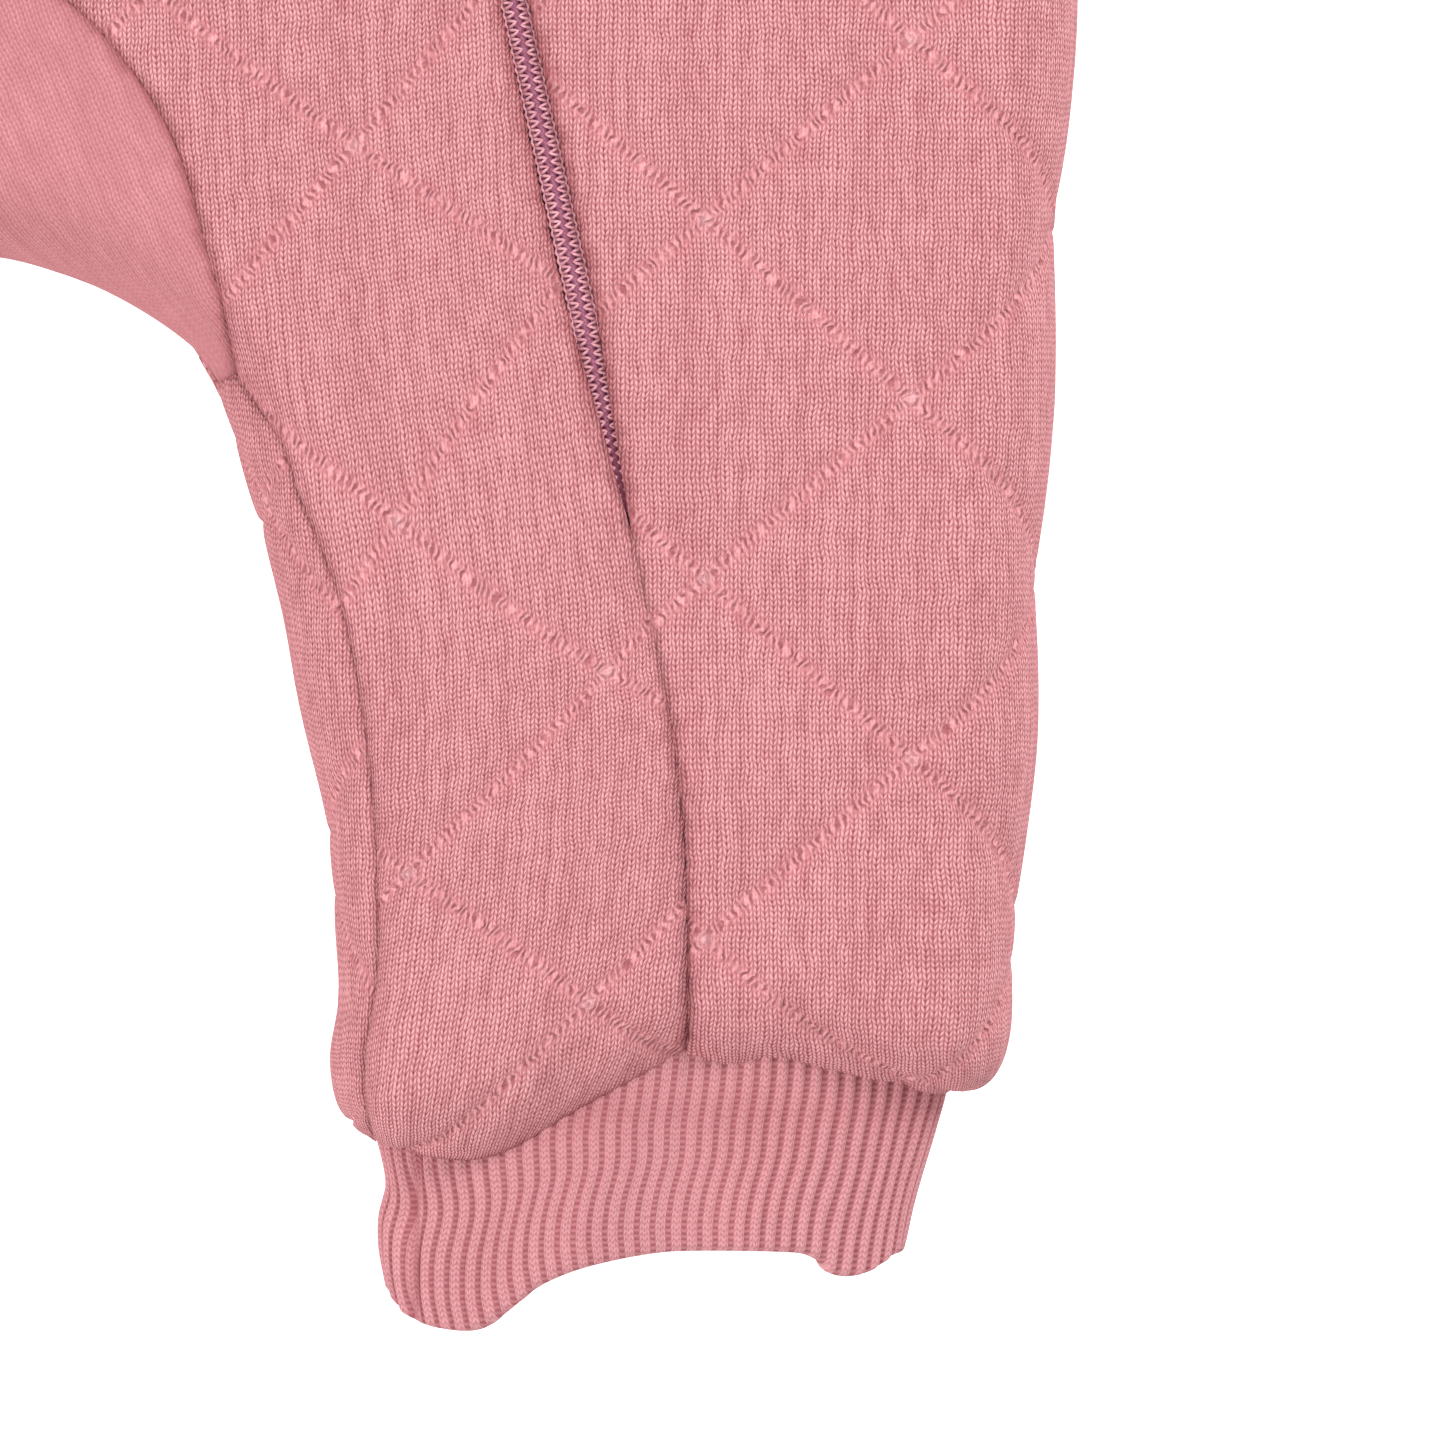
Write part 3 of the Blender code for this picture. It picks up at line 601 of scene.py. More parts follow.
def cuff(side, name):
    """The folded rib cuff: a flattened tube whose wall turns at the bottom edge and goes back up inside."""
    columns = CUFF_RIBS * 8
    wide, tall = flattened_ring(columns, 2.8)
    steps = np.hypot(np.diff(wide, append=wide[0]) * 40, np.diff(tall, append=tall[0]) * 12)
    share = (np.cumsum(steps) - steps) / steps.sum()
    down = np.linspace(0, 1, 44)
    turns = np.linspace(0, math.pi, 9)[1:-1]
    rows = [(t, 0.0) for t in down] + [(1.0, a) for a in turns] + [(t, math.pi) for t in down[::-1][:30]]
    verts, uv, painted_shade = [], [], []
    for t, fold in rows:
        a, b = at_share(CUFF_LEFT, t), at_share(CUFF_RIGHT, t)
        x = a[0] + (b[0] - a[0]) * (wide + 1) / 2
        end = np.interp(x, *CUFF_END.T)
        end = np.where(tall > -0.2, end, end * 0.6 - 152 * 0.4)
        y = CUFF_START + (end - CUFF_START) * t - CUFF_WALL / 2 * math.sin(fold)
        ripple = 0.9 * np.sin(x * 0.21 + 1.3) * step(t, 0.3, 1) + 0.5 * waves(x, y, 30, 21) * t
        lift = RIB_DEEP * (rib_wave(share * CUFF_RIBS * RIB, RIB) - 0.5) * math.cos(fold)
        out = lift - CUFF_WALL * (1 - math.cos(fold)) / 2
        joint = bump(x, CUFF_JOIN, 0.9) * (tall > 0)
        out -= 0.8 * joint * math.cos(fold)
        z = 16 + tall * (12.6 - 2.6 * t + out) + ripple * np.where(tall > 0, 1, 0.4)
        pulled = 3.6 * (1 - t) ** 2 * bump(x, 84, 22) * (tall > 0)
        verts.append(np.column_stack([(x + wide * out + pulled) * side, y, np.maximum(z, 0.4)]))
        uv.append(np.column_stack([share * CUFF_RIBS * RIB, -y]))
        # painted shade on the cuff: darker where the hem overhangs it and along the cuff's own seam
        painted_shade.append(np.maximum(np.exp(-np.abs(y + 130) / 4) * 0.4, joint * 0.7))
    faces = grid_faces(len(rows), columns)
    return band_piece(name, verts, flip(faces) if side > 0 else faces, uv, painted_shade)


# ---------------------------------------------------------------- folded bands
def normals_of(line):
    """Unit normals to the right of a polyline's direction."""
    along = np.gradient(line, axis=0)
    along /= np.linalg.norm(along, axis=1)[:, None]
    return np.column_stack([along[:, 1], -along[:, 0]])


def folded_rows(width, wall, steps=14):
    """Down a folded band's outside, round its edge and back: (distance out, depth under the outside)."""
    out = [(width * k / steps, 0.0) for k in range(steps + 1)]
    turn = [(width + wall / 2 * math.sin(a), wall / 2 * (1 - math.cos(a)))
            for a in np.linspace(0, math.pi, 7)[1:-1]]
    return out + turn + [(width * k / steps, wall) for k in range(steps, 0, -1)]


def armhole_band(side, name):
    """The folded rib band: rows parallel to the armhole's seam, over the form's upper half and back under."""
    seam = unroll(resample(ARM, 0.33))
    out = normals_of(seam)
    run = np.concatenate([[0], np.cumsum(np.linalg.norm(np.diff(seam, axis=0), axis=1))])
    count = len(seam)
    verts, uv, painted_shade = [], [], []
    for t, deep in folded_rows(ARM_BAND, BAND_WALL):
        cloth = seam + out * (t - 0.6)
        plan, rise, way = form(cloth)
        ribs, crown = band_lift(run, RIB * 0.86, t, deep, ARM_BAND)
        lift = (ribs - deep - 0.9 + crown)[:, None]
        upper = np.column_stack([plan, MIDDLE + rise * (1 + swell(plan))]) + way * lift
        lower = upper.copy()
        lower[:, 2] = np.maximum(TOP - lower[:, 2], 0.3)
        ring = np.concatenate([upper, lower[::-1][1:-1]])
        ring[:, 0] *= side
        verts.append(ring)
        around = np.concatenate([run, 2 * run[-1] - run[::-1][1:-1]])
        uv.append(np.column_stack([around * RIB / (RIB * 0.86), np.full(len(around), t + deep)]))
        # painted shade along the band's seam, where it tucks under the shell
        painted_shade.append(np.full(len(around), 0.5 * math.exp(-t / 1.5)))
    faces = grid_faces(len(verts), 2 * count - 2)
    return band_piece(name, verts, faces if side < 0 else flip(faces), uv, painted_shade)


def collar_ring():
    """The collar's section at its seam, once round from the zip: left, back, right and to the zip again."""
    turn = np.linspace(0, math.pi / 2, 24)
    x, z = 52 - ROLL * (1 - np.cos(turn)), MIDDLE + MIDDLE * np.sin(turn)
    quarter = np.column_stack([x, z])[::-1]
    lower = quarter[::-1] * (1, -1) + (0, TOP)
    left = np.concatenate([[(0, TOP)], quarter, lower[1:], [(0, 0)]])
    return np.concatenate([left, left[::-1][1:] * (-1, 1)])


def collar(name, first, last):
    """Part of the folded rib collar, between two shares of the way round it from the zip."""
    ring = resample(collar_ring(), 0.3)
    count = len(ring)
    run = np.arange(count) * 0.3
    part = slice(int(first * (count - 1)), int(last * (count - 1)) + 1)
    x, z = ring[:, 0], ring[:, 1]
    front = step(z, 6, 32)
    seam = front_neck(x) * front + back_neck(x) * (1 - front)
    centre = np.array((0, MIDDLE))
    away = ring - centre
    away[:, 0] = np.where(np.abs(x) < 38, 0, np.sign(x) * (np.abs(x) - 38))
    away /= np.linalg.norm(away, axis=1)[:, None]
    verts, uv, painted_shade = [], [], []
    for t, deep in folded_rows(COLLAR, BAND_WALL, 20):
        ribs, crown = band_lift(run, RIB * 0.9, t, deep, COLLAR)
        lift = ribs - deep - 1.1 + crown
        y = seam - 0.8 + t
        narrow = 1 - 0.09 * t / COLLAR
        opening = np.where(z > MIDDLE, np.where(run < run[-1] / 2, 1.9, -2.45), 0)
        beside = np.exp(-np.abs(x) / 14) * (z > MIDDLE)
        shear = (zip_middle(y) + opening) * beside
        px = x * narrow + away[:, 0] * lift + shear
        pz = z + away[:, 1] * lift
        verts.append(np.column_stack([px, y, np.maximum(pz, 0.3)])[part])
        uv.append(np.column_stack([run / 0.9, np.full(count, t + deep)])[part])
        # painted shade along the collar's seam, where it tucks under the shell
        painted_shade.append(np.full(count, 0.5 * math.exp(-t / 1.5))[part])
    faces = grid_faces(len(verts), len(verts[0]), wrap=False)
    return band_piece(name, verts, faces, uv, painted_shade)


# ---------------------------------------------------------------- the zip
def tubes(paths, radii, sides=6):
    """Round threads along polylines, all of one radius or each of its own: verts and faces, ends closed."""
    verts, faces, base = [], [], 0
    turn = 2 * math.pi * np.arange(sides) / sides
    for path, radius in zip(paths, np.broadcast_to(radii, len(paths))):
        path = np.asarray(path, float)
        along = np.gradient(path, axis=0)
        along /= np.linalg.norm(along, axis=1)[:, None]
        up = np.array((0, 0, 1.0))
        across = np.cross(along, up)
        across /= np.maximum(np.linalg.norm(across, axis=1), 1e-6)[:, None]
        lift = np.cross(across, along)
        spoke = across[:, None] * np.cos(turn)[:, None] + lift[:, None] * np.sin(turn)[:, None]
        ring = path[:, None] + radius * spoke
        verts.append(ring.reshape(-1, 3))
        n = len(path)
        faces += grid_faces(n, sides, base=base)
        faces.append(tuple(base + k for k in range(sides))[::-1])
        faces.append(tuple(base + (n - 1) * sides + k for k in range(sides)))
        base += n * sides
    return np.concatenate(verts), faces


def on_zip(points):
    """Points given as (across, up the zip, height) in the bag's plan."""
    points = np.asarray(points, float)
    plan = ZIP_FOOT + ZIP_ALONG * points[:, 1:2] + ZIP_ACROSS * points[:, 0:1]
    return np.column_stack([plan, points[:, 2]])


TOOTH = 1.4  # pitch of the teeth
CHAIN_FOOT, CHAIN_TOP = 4, 459.0
LOOP_THREAD, CORE_THREAD, SEWING_THREAD = 0.34, 0.6, 0.235


def chain(side, name):
    """Half of the zip's chain: coil loops that reach just over the middle, and the stitches on them."""
    coils, sewn = [], []
    phase = 0.0 if side > 0 else TOOTH / 2
    loop = [(0.95, -0.42, 35.1), (0.55, -0.36, 35.75), (0.05, -0.2, 35.95), (-0.38, 0, 35.75),
            (0.05, 0.2, 35.95), (0.55, 0.36, 35.75), (0.95, 0.42, 35.1)]
    hook = [(1.85, -0.5, 35.5), (1.3, -0.4, 36.15), (0.65, -0.12, 36.3), (0.33, 0.12, 36.2),
            (0.7, 0.3, 36.25), (1.35, 0.42, 36.1), (1.8, 0.75, 35.5)]
    for k in range(int((CHAIN_TOP - CHAIN_FOOT) / TOOTH)):
        at = CHAIN_FOOT + phase + k * TOOTH
        coils.append(on_zip([(side * x, at + y, z) for x, y, z in loop]))
        sewn.append(on_zip([(side * x, at + y, z) for x, y, z in hook]))
    run = np.arange(CHAIN_FOOT, CHAIN_TOP, TOOTH / 6)
    edge = 1.86 + 0.14 * np.cos((run - CHAIN_FOOT - phase) * 2 * math.pi / TOOTH)
    sewn.append(on_zip(np.column_stack([side * edge, run, np.full(len(run), 35.75)])))
    core = np.column_stack([np.full(len(run), side * 1.32), run, np.full(len(run), 35.3)])
    verts, faces = tubes([*coils, on_zip(core)], [LOOP_THREAD] * len(coils) + [CORE_THREAD])
    coil = mesh_piece(name, to_frame(verts), faces)
    verts, faces = tubes(sewn, SEWING_THREAD, 5)
    thread = mesh_piece(name + "_stitching", to_frame(verts), faces)
    return coil, thread


def strip(name, inner, outer, low, high, height, thick=0.5, wave=0.0):
    """A ribbon along the zip, between two distances across it and two up it, with a closed edge."""
    along = np.linspace(low, high, 260)
    across = np.linspace(inner, outer, 9)
    top = [(a, s, height + wave * math.sin(s * 0.11 + a * 0.2)) for s in along for a in across]
    under = [(a, s, z - thick) for a, s, z in top]
    verts = np.concatenate([on_zip(top), on_zip(under)])
    n, m = len(along), len(across)
    faces = []
    for r in range(n - 1):
        for c in range(m - 1):
            a, b = r * m + c, (r + 1) * m + c
            faces.append((a, a + 1, b + 1, b))
            faces.append((n * m + a, n * m + b, n * m + b + 1, n * m + a + 1))
    rim = [*range(m), *(r * m + m - 1 for r in range(1, n)), *((n - 1) * m + c for c in range(m - 2, -1, -1)),
           *(r * m for r in range(n - 2, 0, -1))]
    for i, j in zip(rim, rim[1:] + rim[:1]):
        faces.append((j, i, n * m + i, n * m + j))
    if outer < inner:
        faces = flip(faces)
    uv = np.array([(a, s) for a, s, _ in top] * 2) * MM
    return mesh_piece(name, to_frame(verts), faces, uv)


# ---------------------------------------------------------------- materials
class Nodes:
    """Short ways to add shader nodes to one tree; numbers and sockets can both be given as inputs."""

    def __init__(self, tree):
        self.tree = tree

    def put(self, socket, value):
        if isinstance(value, bpy.types.NodeSocket):
            self.tree.links.new(value, socket)
        else:
            socket.default_value = value

    def add(self, kind, inputs, **settings):
        node = self.tree.nodes.new(kind)
        for key, value in settings.items():
            setattr(node, key, value)
        for key, value in inputs.items():
            self.put(node.inputs[key], value)
        return node

    def math(self, operation, a, b=0.0, c=0.0):
        return self.add("ShaderNodeMath", {0: a, 1: b, 2: c}, operation=operation).outputs[0]

    def plus(self, a, b):
        return self.math("ADD", a, b)

    def minus(self, a, b):
        return self.math("SUBTRACT", a, b)

    def times(self, a, b):
        return self.math("MULTIPLY", a, b)

    def over(self, a, b):
        return self.math("DIVIDE", a, b)

    def swing(self, value, amount):
        """A value between 0 and 1 made to swing about 0, by half the amount each way."""
        return self.times(self.minus(value, 0.5), amount)

    def from_middle(self, value):
        """0 in the middle of each whole step of the value, 1 at its ends."""
        return self.times(self.math("ABSOLUTE", self.minus(self.math("FRACT", value), 0.5)), 2.0)

    def ramp(self, value, low, high):
        """0 at low, 1 at high, smooth between."""
        return self.add("ShaderNodeMapRange", {"Value": value, "From Min": low, "From Max": high},
                        interpolation_type="SMOOTHSTEP").outputs["Result"]

    def bell(self, value, width):
        """1 at zero, falling off over the width."""
        scaled = self.over(value, width)
        return self.math("POWER", 2.718, self.times(self.times(scaled, scaled), -1.0))

    def hump(self, value, power):
        """1 in the middle between 0 and 1, 0 at both; flatter on top with a higher power."""
        from_middle = self.math("ABSOLUTE", self.minus(self.times(value, 2.0), 1.0))
        return self.minus(1.0, self.math("POWER", from_middle, power))

    def noise(self, vector, scale, detail=2.0, rough=0.5):
        given = {"Vector": vector, "Scale": scale, "Detail": detail, "Roughness": rough}
        return self.add("ShaderNodeTexNoise", given).outputs["Fac"]

    def mix(self, share, a, b):
        node = self.add("ShaderNodeMix", {0: share, 6: a, 7: b}, data_type="RGBA")
        return node.outputs[2]

    def lerp(self, share, a, b):
        return self.add("ShaderNodeMix", {0: share, 2: a, 3: b}, data_type="FLOAT").outputs[0]

    def stretch(self, vector, x, y):
        return self.add("ShaderNodeVectorMath", {0: vector, 1: (x, y, 1.0)}, operation="MULTIPLY").outputs[0]

    def raise_by(self, shader, height, depth, strength):
        """The height stands out of the surface by a depth in millimetres, as a bump."""
        given = {"Strength": strength, "Distance": depth * MM, "Height": height}
        self.put(shader.inputs["Normal"], self.add("ShaderNodeBump", given).outputs[0])

    def split(self, vector):
        node = self.add("ShaderNodeSeparateXYZ", {0: vector})
        return node.outputs[0], node.outputs[1]


def group(name, inputs, outputs):
    """An empty node group with float or vector sockets, and its input and output nodes."""
    tree = bpy.data.node_groups.new(name, "ShaderNodeTree")
    for key, kind in inputs:
        tree.interface.new_socket(key, in_out="INPUT", socket_type=kind)
    for key, kind in outputs:
        tree.interface.new_socket(key, in_out="OUTPUT", socket_type=kind)
    return tree, tree.nodes.new("NodeGroupInput").outputs, tree.nodes.new("NodeGroupOutput").inputs


FLOAT, VECTOR = "NodeSocketFloat", "NodeSocketVector"


def knit_group():
    """Plain knit, in coordinates that count stitches: columns of V shapes with a small hole in each, painted
    dark as shade.
    """
    tree, given, out = group("plain_knit", [("Stitches", VECTOR)],
                             [("Height", FLOAT), ("Shade", FLOAT), ("Dot", FLOAT)])
    n = Nodes(tree)
    across, up = n.split(given["Stitches"])
    wobble = n.swing(n.noise(given["Stitches"], 0.16, 3.0), 1.3)
    across = n.plus(across, wobble)
    drift = n.swing(n.noise(n.stretch(given["Stitches"], 1, 0.4), 0.3), 1.8)
    up = n.plus(up, drift)
    column = n.math("FLOOR", across)
    side = n.from_middle(across)
    phase = n.math("FRACT", n.minus(up, n.times(side, 0.62)))
    arm = n.hump(side, 2.2)
    strand = n.hump(phase, 2.0)
    height = n.times(n.math("POWER", arm, 0.6), n.plus(n.times(strand, 0.55), 0.45))
    own = n.add("ShaderNodeTexWhiteNoise", {"W": column}, noise_dimensions="1D").outputs["Value"]
    uneven = n.noise(n.stretch(given["Stitches"], 1.0, 0.3), 0.8, 2.0)
    bright = n.plus(n.swing(own, 0.16),
                    n.swing(uneven, 0.75))
    near_edge = n.minus(0.5, n.math("ABSOLUTE", n.minus(phase, 0.5)))
    open_here = n.ramp(n.noise(given["Stitches"], 0.9, 1.0), 0.34, 0.62)
    dot = n.times(n.bell(side, 0.36), n.bell(near_edge, 0.26))
    n.put(out["Height"], height)
    # painted shade and highlight: lighter on the stitches' tops, darker between them, with the yarn's own
    # uneven tone added
    n.put(out["Shade"], n.plus(height, bright))
    n.put(out["Dot"], n.times(dot, n.lerp(open_here, 0.35, 1.0)))
    return tree


STRAND = 1.2  # pitch of the strands along a quilting line


def quilt_group():
    """Quilting: along two families of slanting lines the stitches are pulled apart into strands and holes."""
    tree, given, out = group("quilting", [("Cloth", VECTOR)],
                             [("Line", FLOAT), ("Hole", FLOAT), ("Strand", FLOAT), ("Crossing_highlight", FLOAT)])
    n = Nodes(tree)
    x, y = n.split(given["Cloth"])
    shaky = n.swing(n.noise(given["Cloth"], 260.0, 2.0), 0.0014)
    x = n.plus(x, shaky)
    uneven = n.times(n.noise(given["Cloth"], 420.0, 2.0), 2.6)
    gate = n.ramp(n.noise(given["Cloth"], 700.0, 1.0), 0.33, 0.6)
    norm = math.hypot(1 / QUILT_WIDE, 1 / QUILT_TALL)
    a, b = n.over(x, QUILT_WIDE * MM), n.over(y, QUILT_TALL * MM)
    along_x, along_y = n.over(x, QUILT_TALL * MM), n.over(y, QUILT_WIDE * MM)
    found = []
    for cross, along in (("ADD", "SUBTRACT"), ("SUBTRACT", "ADD")):
        c = n.math(cross, a, b)
        away = n.minus(c, n.times(n.math("ROUND", n.times(c, 0.5)), 2.0))
        gap = n.times(n.math("ABSOLUTE", away), 1 / norm)
        run = n.plus(n.over(n.math(along, along_x, along_y), norm * STRAND), uneven)
        run = n.plus(run, n.times(away, 4.0))
        between = n.from_middle(run)
        band = n.bell(gap, 1.25)
        hole = n.times(n.ramp(between, 0.45, 0.85), n.bell(gap, 0.85))
        found.append((gap, band, n.times(hole, gate), n.times(n.minus(1.0, between), band)))
    n.put(out["Line"], n.math("MAXIMUM", found[0][1], found[1][1]))
    n.put(out["Hole"], n.math("MAXIMUM", found[0][2], found[1][2]))
    n.put(out["Strand"], n.math("MAXIMUM", found[0][3], found[1][3]))
    # painted highlight where the two families of lines cross
    n.put(out["Crossing_highlight"], n.bell(n.math("MAXIMUM", found[0][0], found[1][0]), 0.9))
    return tree


def rib_group():
    """Rib knit: two columns of stitches on each rib, painted lighter on top, and small loops down in the
    furrow, painted dark as shade.
    """
    tree, given, out = group("rib_knit", [("Cloth", VECTOR)], [("Height", FLOAT), ("Shade", FLOAT)])
    n = Nodes(tree)
    x, y = n.split(given["Cloth"])
    ribs = n.over(x, RIB * MM)
    rows = n.over(y, 0.9 * MM)
    rows = n.plus(rows, n.times(n.noise(given["Cloth"], 300.0, 2.0), 0.8))
    centre = n.math("ABSOLUTE", n.minus(ribs, n.math("ROUND", ribs)))
    on_rib = n.minus(1.0, n.ramp(centre, 0.29, 0.39))
    side = n.times(n.math("ABSOLUTE", n.minus(n.over(centre, 0.33), 0.5)), 2.0)
    strand = n.hump(n.math("FRACT", n.minus(rows, n.times(side, 0.55))), 2.0)
    arm = n.hump(side, 2.5)
    knit = n.times(n.plus(n.times(strand, 0.4), 0.6),
                  n.plus(n.times(arm, 0.25), 0.75))
    wave = n.math("ABSOLUTE", n.math("SINE", n.times(rows, math.pi)))
    loops = n.times(n.math("POWER", wave, 1.5), 0.6)
    uneven = n.swing(n.noise(given["Cloth"], 1300.0, 2.0), 0.5)
    n.put(out["Height"], n.lerp(on_rib, loops, knit))
    n.put(out["Shade"], n.plus(n.lerp(on_rib, n.times(loops, 0.85), knit), uneven))
    return tree


def mottle_group():
    """Slow unevenness of dyed cloth, from -1 to 1."""
    tree, given, out = group("mottling", [("Cloth", VECTOR)], [("Tone", FLOAT)])
    n = Nodes(tree)
    broad = n.minus(n.noise(given["Cloth"], 55.0, 4.0, 0.6), 0.5)
    streak = n.minus(n.noise(n.stretch(given["Cloth"], 1.0, 0.12), 420.0, 2.0), 0.5)
    n.put(out["Tone"], n.plus(n.times(broad, 1.1), n.times(streak, 0.9)))
    return tree


GROUPS = {}


def use(n, name, builder, **inputs):
    """A shared group, built the first time it is asked for."""
    if name not in GROUPS:
        GROUPS[name] = builder()
    node = n.tree.nodes.new("ShaderNodeGroup")
    node.node_tree = GROUPS[name]
    for key, value in inputs.items():
        n.put(node.inputs[key], value)
    return node.outputs


def blank(name, roughness=0.9, sheen=0.0):
    material = bpy.data.materials.new(name)
    material.use_nodes = True
    shader = material.node_tree.nodes["Principled BSDF"]
    shader.inputs["Roughness"].default_value = roughness
    shader.inputs["Sheen Weight"].default_value = sheen
    shader.inputs["Specular IOR Level"].default_value = 0.15
    return material, Nodes(material.node_tree), shader


# in order: painted shade for seams, creases and holes; painted shade between the yarns; the yarn's own mid
# tone; painted highlight on top of the yarns; painted highlight where the quilting lines cross
SHADOW_COLOUR = (0.34, 0.078, 0.092, 1)
SHADE = (0.48, 0.148, 0.164, 1)
BODY = (0.66, 0.255, 0.273, 1)
YARN_HIGHLIGHT = (0.90, 0.415, 0.437, 1)
CROSSING_HIGHLIGHT = (0.90, 0.52, 0.55, 1)


def cloth_vector(n):
    return n.add("ShaderNodeUVMap", {}, uv_map="cloth").outputs[0]


def yarn_colour(n, shade, tone, tint=(1, 1, 1, 1)):
    """Painted shade between the yarns and painted highlight on top of them, varied by the cloth's own uneven
    tone.
    """
    level = n.plus(shade, n.times(tone, 0.22))
    dark = n.mix(n.ramp(level, 0.05, 0.55), SHADE, BODY)
    colour = n.mix(n.ramp(level, 0.5, 1.05), dark, YARN_HIGHLIGHT)
    tinted = n.add("ShaderNodeMix", {0: 1.0, 6: colour, 7: tint}, data_type="RGBA", blend_type="MULTIPLY")
    return tinted.outputs[2]


def finish_cloth(n, shader, colour, height, depth, strength=0.75):
    """The painted shade attribute darkens the colour where shade falls at seams, creases and edges, and the
    stitches stand out as bump.
    """
    painted_shade = n.add("ShaderNodeAttribute", {}, attribute_name="painted_shade").outputs["Fac"]
    colour = n.mix(n.times(painted_shade, 0.55), colour, SHADOW_COLOUR)
    n.put(shader.inputs["Base Color"], colour)
    n.raise_by(shader, height, depth, strength)


def dotted(n, colour, dot, less=0.0):
    """Painted shade in the holes between the stitches, fewer where the cloth is pulled."""
    share = n.times(dot, n.minus(1.0, n.times(less, 0.8)))
    return n.mix(share, colour, SHADOW_COLOUR)


def stitches(n, cloth, wale, course):
    return n.stretch(cloth, 1 / (wale * MM), 1 / (course * MM))


def quilted_knit():
    material, n, shader = blank("quilted_knit_cloth", 0.92, 0.04)
    cloth = cloth_vector(n)
    knit = use(n, "knit", knit_group, Stitches=stitches(n, cloth, WALE, COURSE))
    quilt = use(n, "quilt", quilt_group, Cloth=cloth)
    tone = use(n, "mottle", mottle_group, Cloth=cloth)["Tone"]
    pulled = n.times(quilt["Line"], 0.8)
    # painted highlight on the raised strands along the quilting lines
    shade = n.lerp(pulled, knit["Shade"], n.plus(n.times(quilt["Strand"], 0.7), 0.35))
    colour = yarn_colour(n, shade, tone)
    colour = dotted(n, colour, knit["Dot"], pulled)
    # painted shade in the holes pulled open along the quilting lines
    colour = n.mix(n.times(quilt["Hole"], 0.75), colour, SHADOW_COLOUR)
    # painted highlight where the quilting lines cross
    colour = n.mix(n.times(quilt["Crossing_highlight"], 0.35), colour, CROSSING_HIGHLIGHT)
    height = n.lerp(pulled, knit["Height"], quilt["Strand"])
    height = n.minus(height, n.times(quilt["Hole"], 0.9))
    finish_cloth(n, shader, colour, height, 0.62)
    return material


def plain_knit(name, tint, wale=WALE, course=COURSE, crisp=1.0):
    material, n, shader = blank(name, 0.93, 0.04)
    cloth = cloth_vector(n)
    knit = use(n, "knit", knit_group, Stitches=stitches(n, cloth, wale, course))
    tone = use(n, "mottle", mottle_group, Cloth=cloth)["Tone"]
    shade = n.lerp(crisp, 0.62, knit["Shade"])
    colour = dotted(n, yarn_colour(n, shade, tone, tint), n.times(knit["Dot"], crisp))
    finish_cloth(n, shader, colour, knit["Height"], 0.4 * crisp)
    return material


def rib_knit():
    material, n, shader = blank("rib_knit_cloth", 0.93, 0.04)
    cloth = cloth_vector(n)
    rib = use(n, "rib", rib_group, Cloth=cloth)
    tone = use(n, "mottle", mottle_group, Cloth=cloth)["Tone"]
    finish_cloth(n, shader, yarn_colour(n, rib["Shade"], tone, (0.79, 0.79, 0.80, 1)), rib["Height"], 0.4)
    return material


def object_vector(n):
    return n.add("ShaderNodeTexCoord", {}).outputs["Object"]


def woven(name, light, dark, pitch=0.45):
    """Fine herringbone tape, from the piece's own coordinates."""
    material, n, shader = blank(name, 0.8, 0.05)
    place = object_vector(n)
    x, y = n.split(place)
    slant = n.plus(n.times(x, 1.2), y)
    weave = n.math("ABSOLUTE", n.math("SINE", n.times(slant, math.pi / (pitch * MM))))
    grain = n.noise(place, 2500.0, 2.0)
    level = n.plus(n.times(weave, 0.6), n.times(grain, 0.5))
    n.put(shader.inputs["Base Color"], n.mix(level, dark, light))
    n.raise_by(shader, level, 0.12, 0.5)
    return material


def nylon(name, colour, dark, roughness):
    material, n, shader = blank(name, roughness)
    shader.inputs["Specular IOR Level"].default_value = 0.4
    grain = n.noise(object_vector(n), 1800.0, 3.0)
    n.put(shader.inputs["Base Color"], n.mix(n.ramp(grain, 0.3, 0.7), dark, colour))
    return material


def cast_metal():
    """Nickel-plated die casting: bright, with a faint grain and finer scratches in its roughness."""
    material, n, shader = blank("plated_metal", 0.28)
    shader.inputs["Metallic"].default_value = 1.0
    place = object_vector(n)
    grain = n.noise(place, 900.0, 4.0, 0.6)
    rubbed = n.noise(n.stretch(place, 1.0, 0.15), 5200.0, 2.0)
    n.put(shader.inputs["Base Color"], n.mix(grain, (0.52, 0.50, 0.49, 1), (0.78, 0.76, 0.74, 1)))
    n.put(shader.inputs["Roughness"], n.plus(0.18, n.times(rubbed, 0.28)))
    n.raise_by(shader, grain, 0.05, 0.15)
    return material


# ---------------------------------------------------------------- assembly
def fold_blend(piece):
    """Bakes the piece's placement into its mesh; the piece stays where it is and does not turn with the flap.
    """
    direction = FOLD_TOP - ZIP_FOOT
    direction /= np.linalg.norm(direction)
    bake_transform(piece)


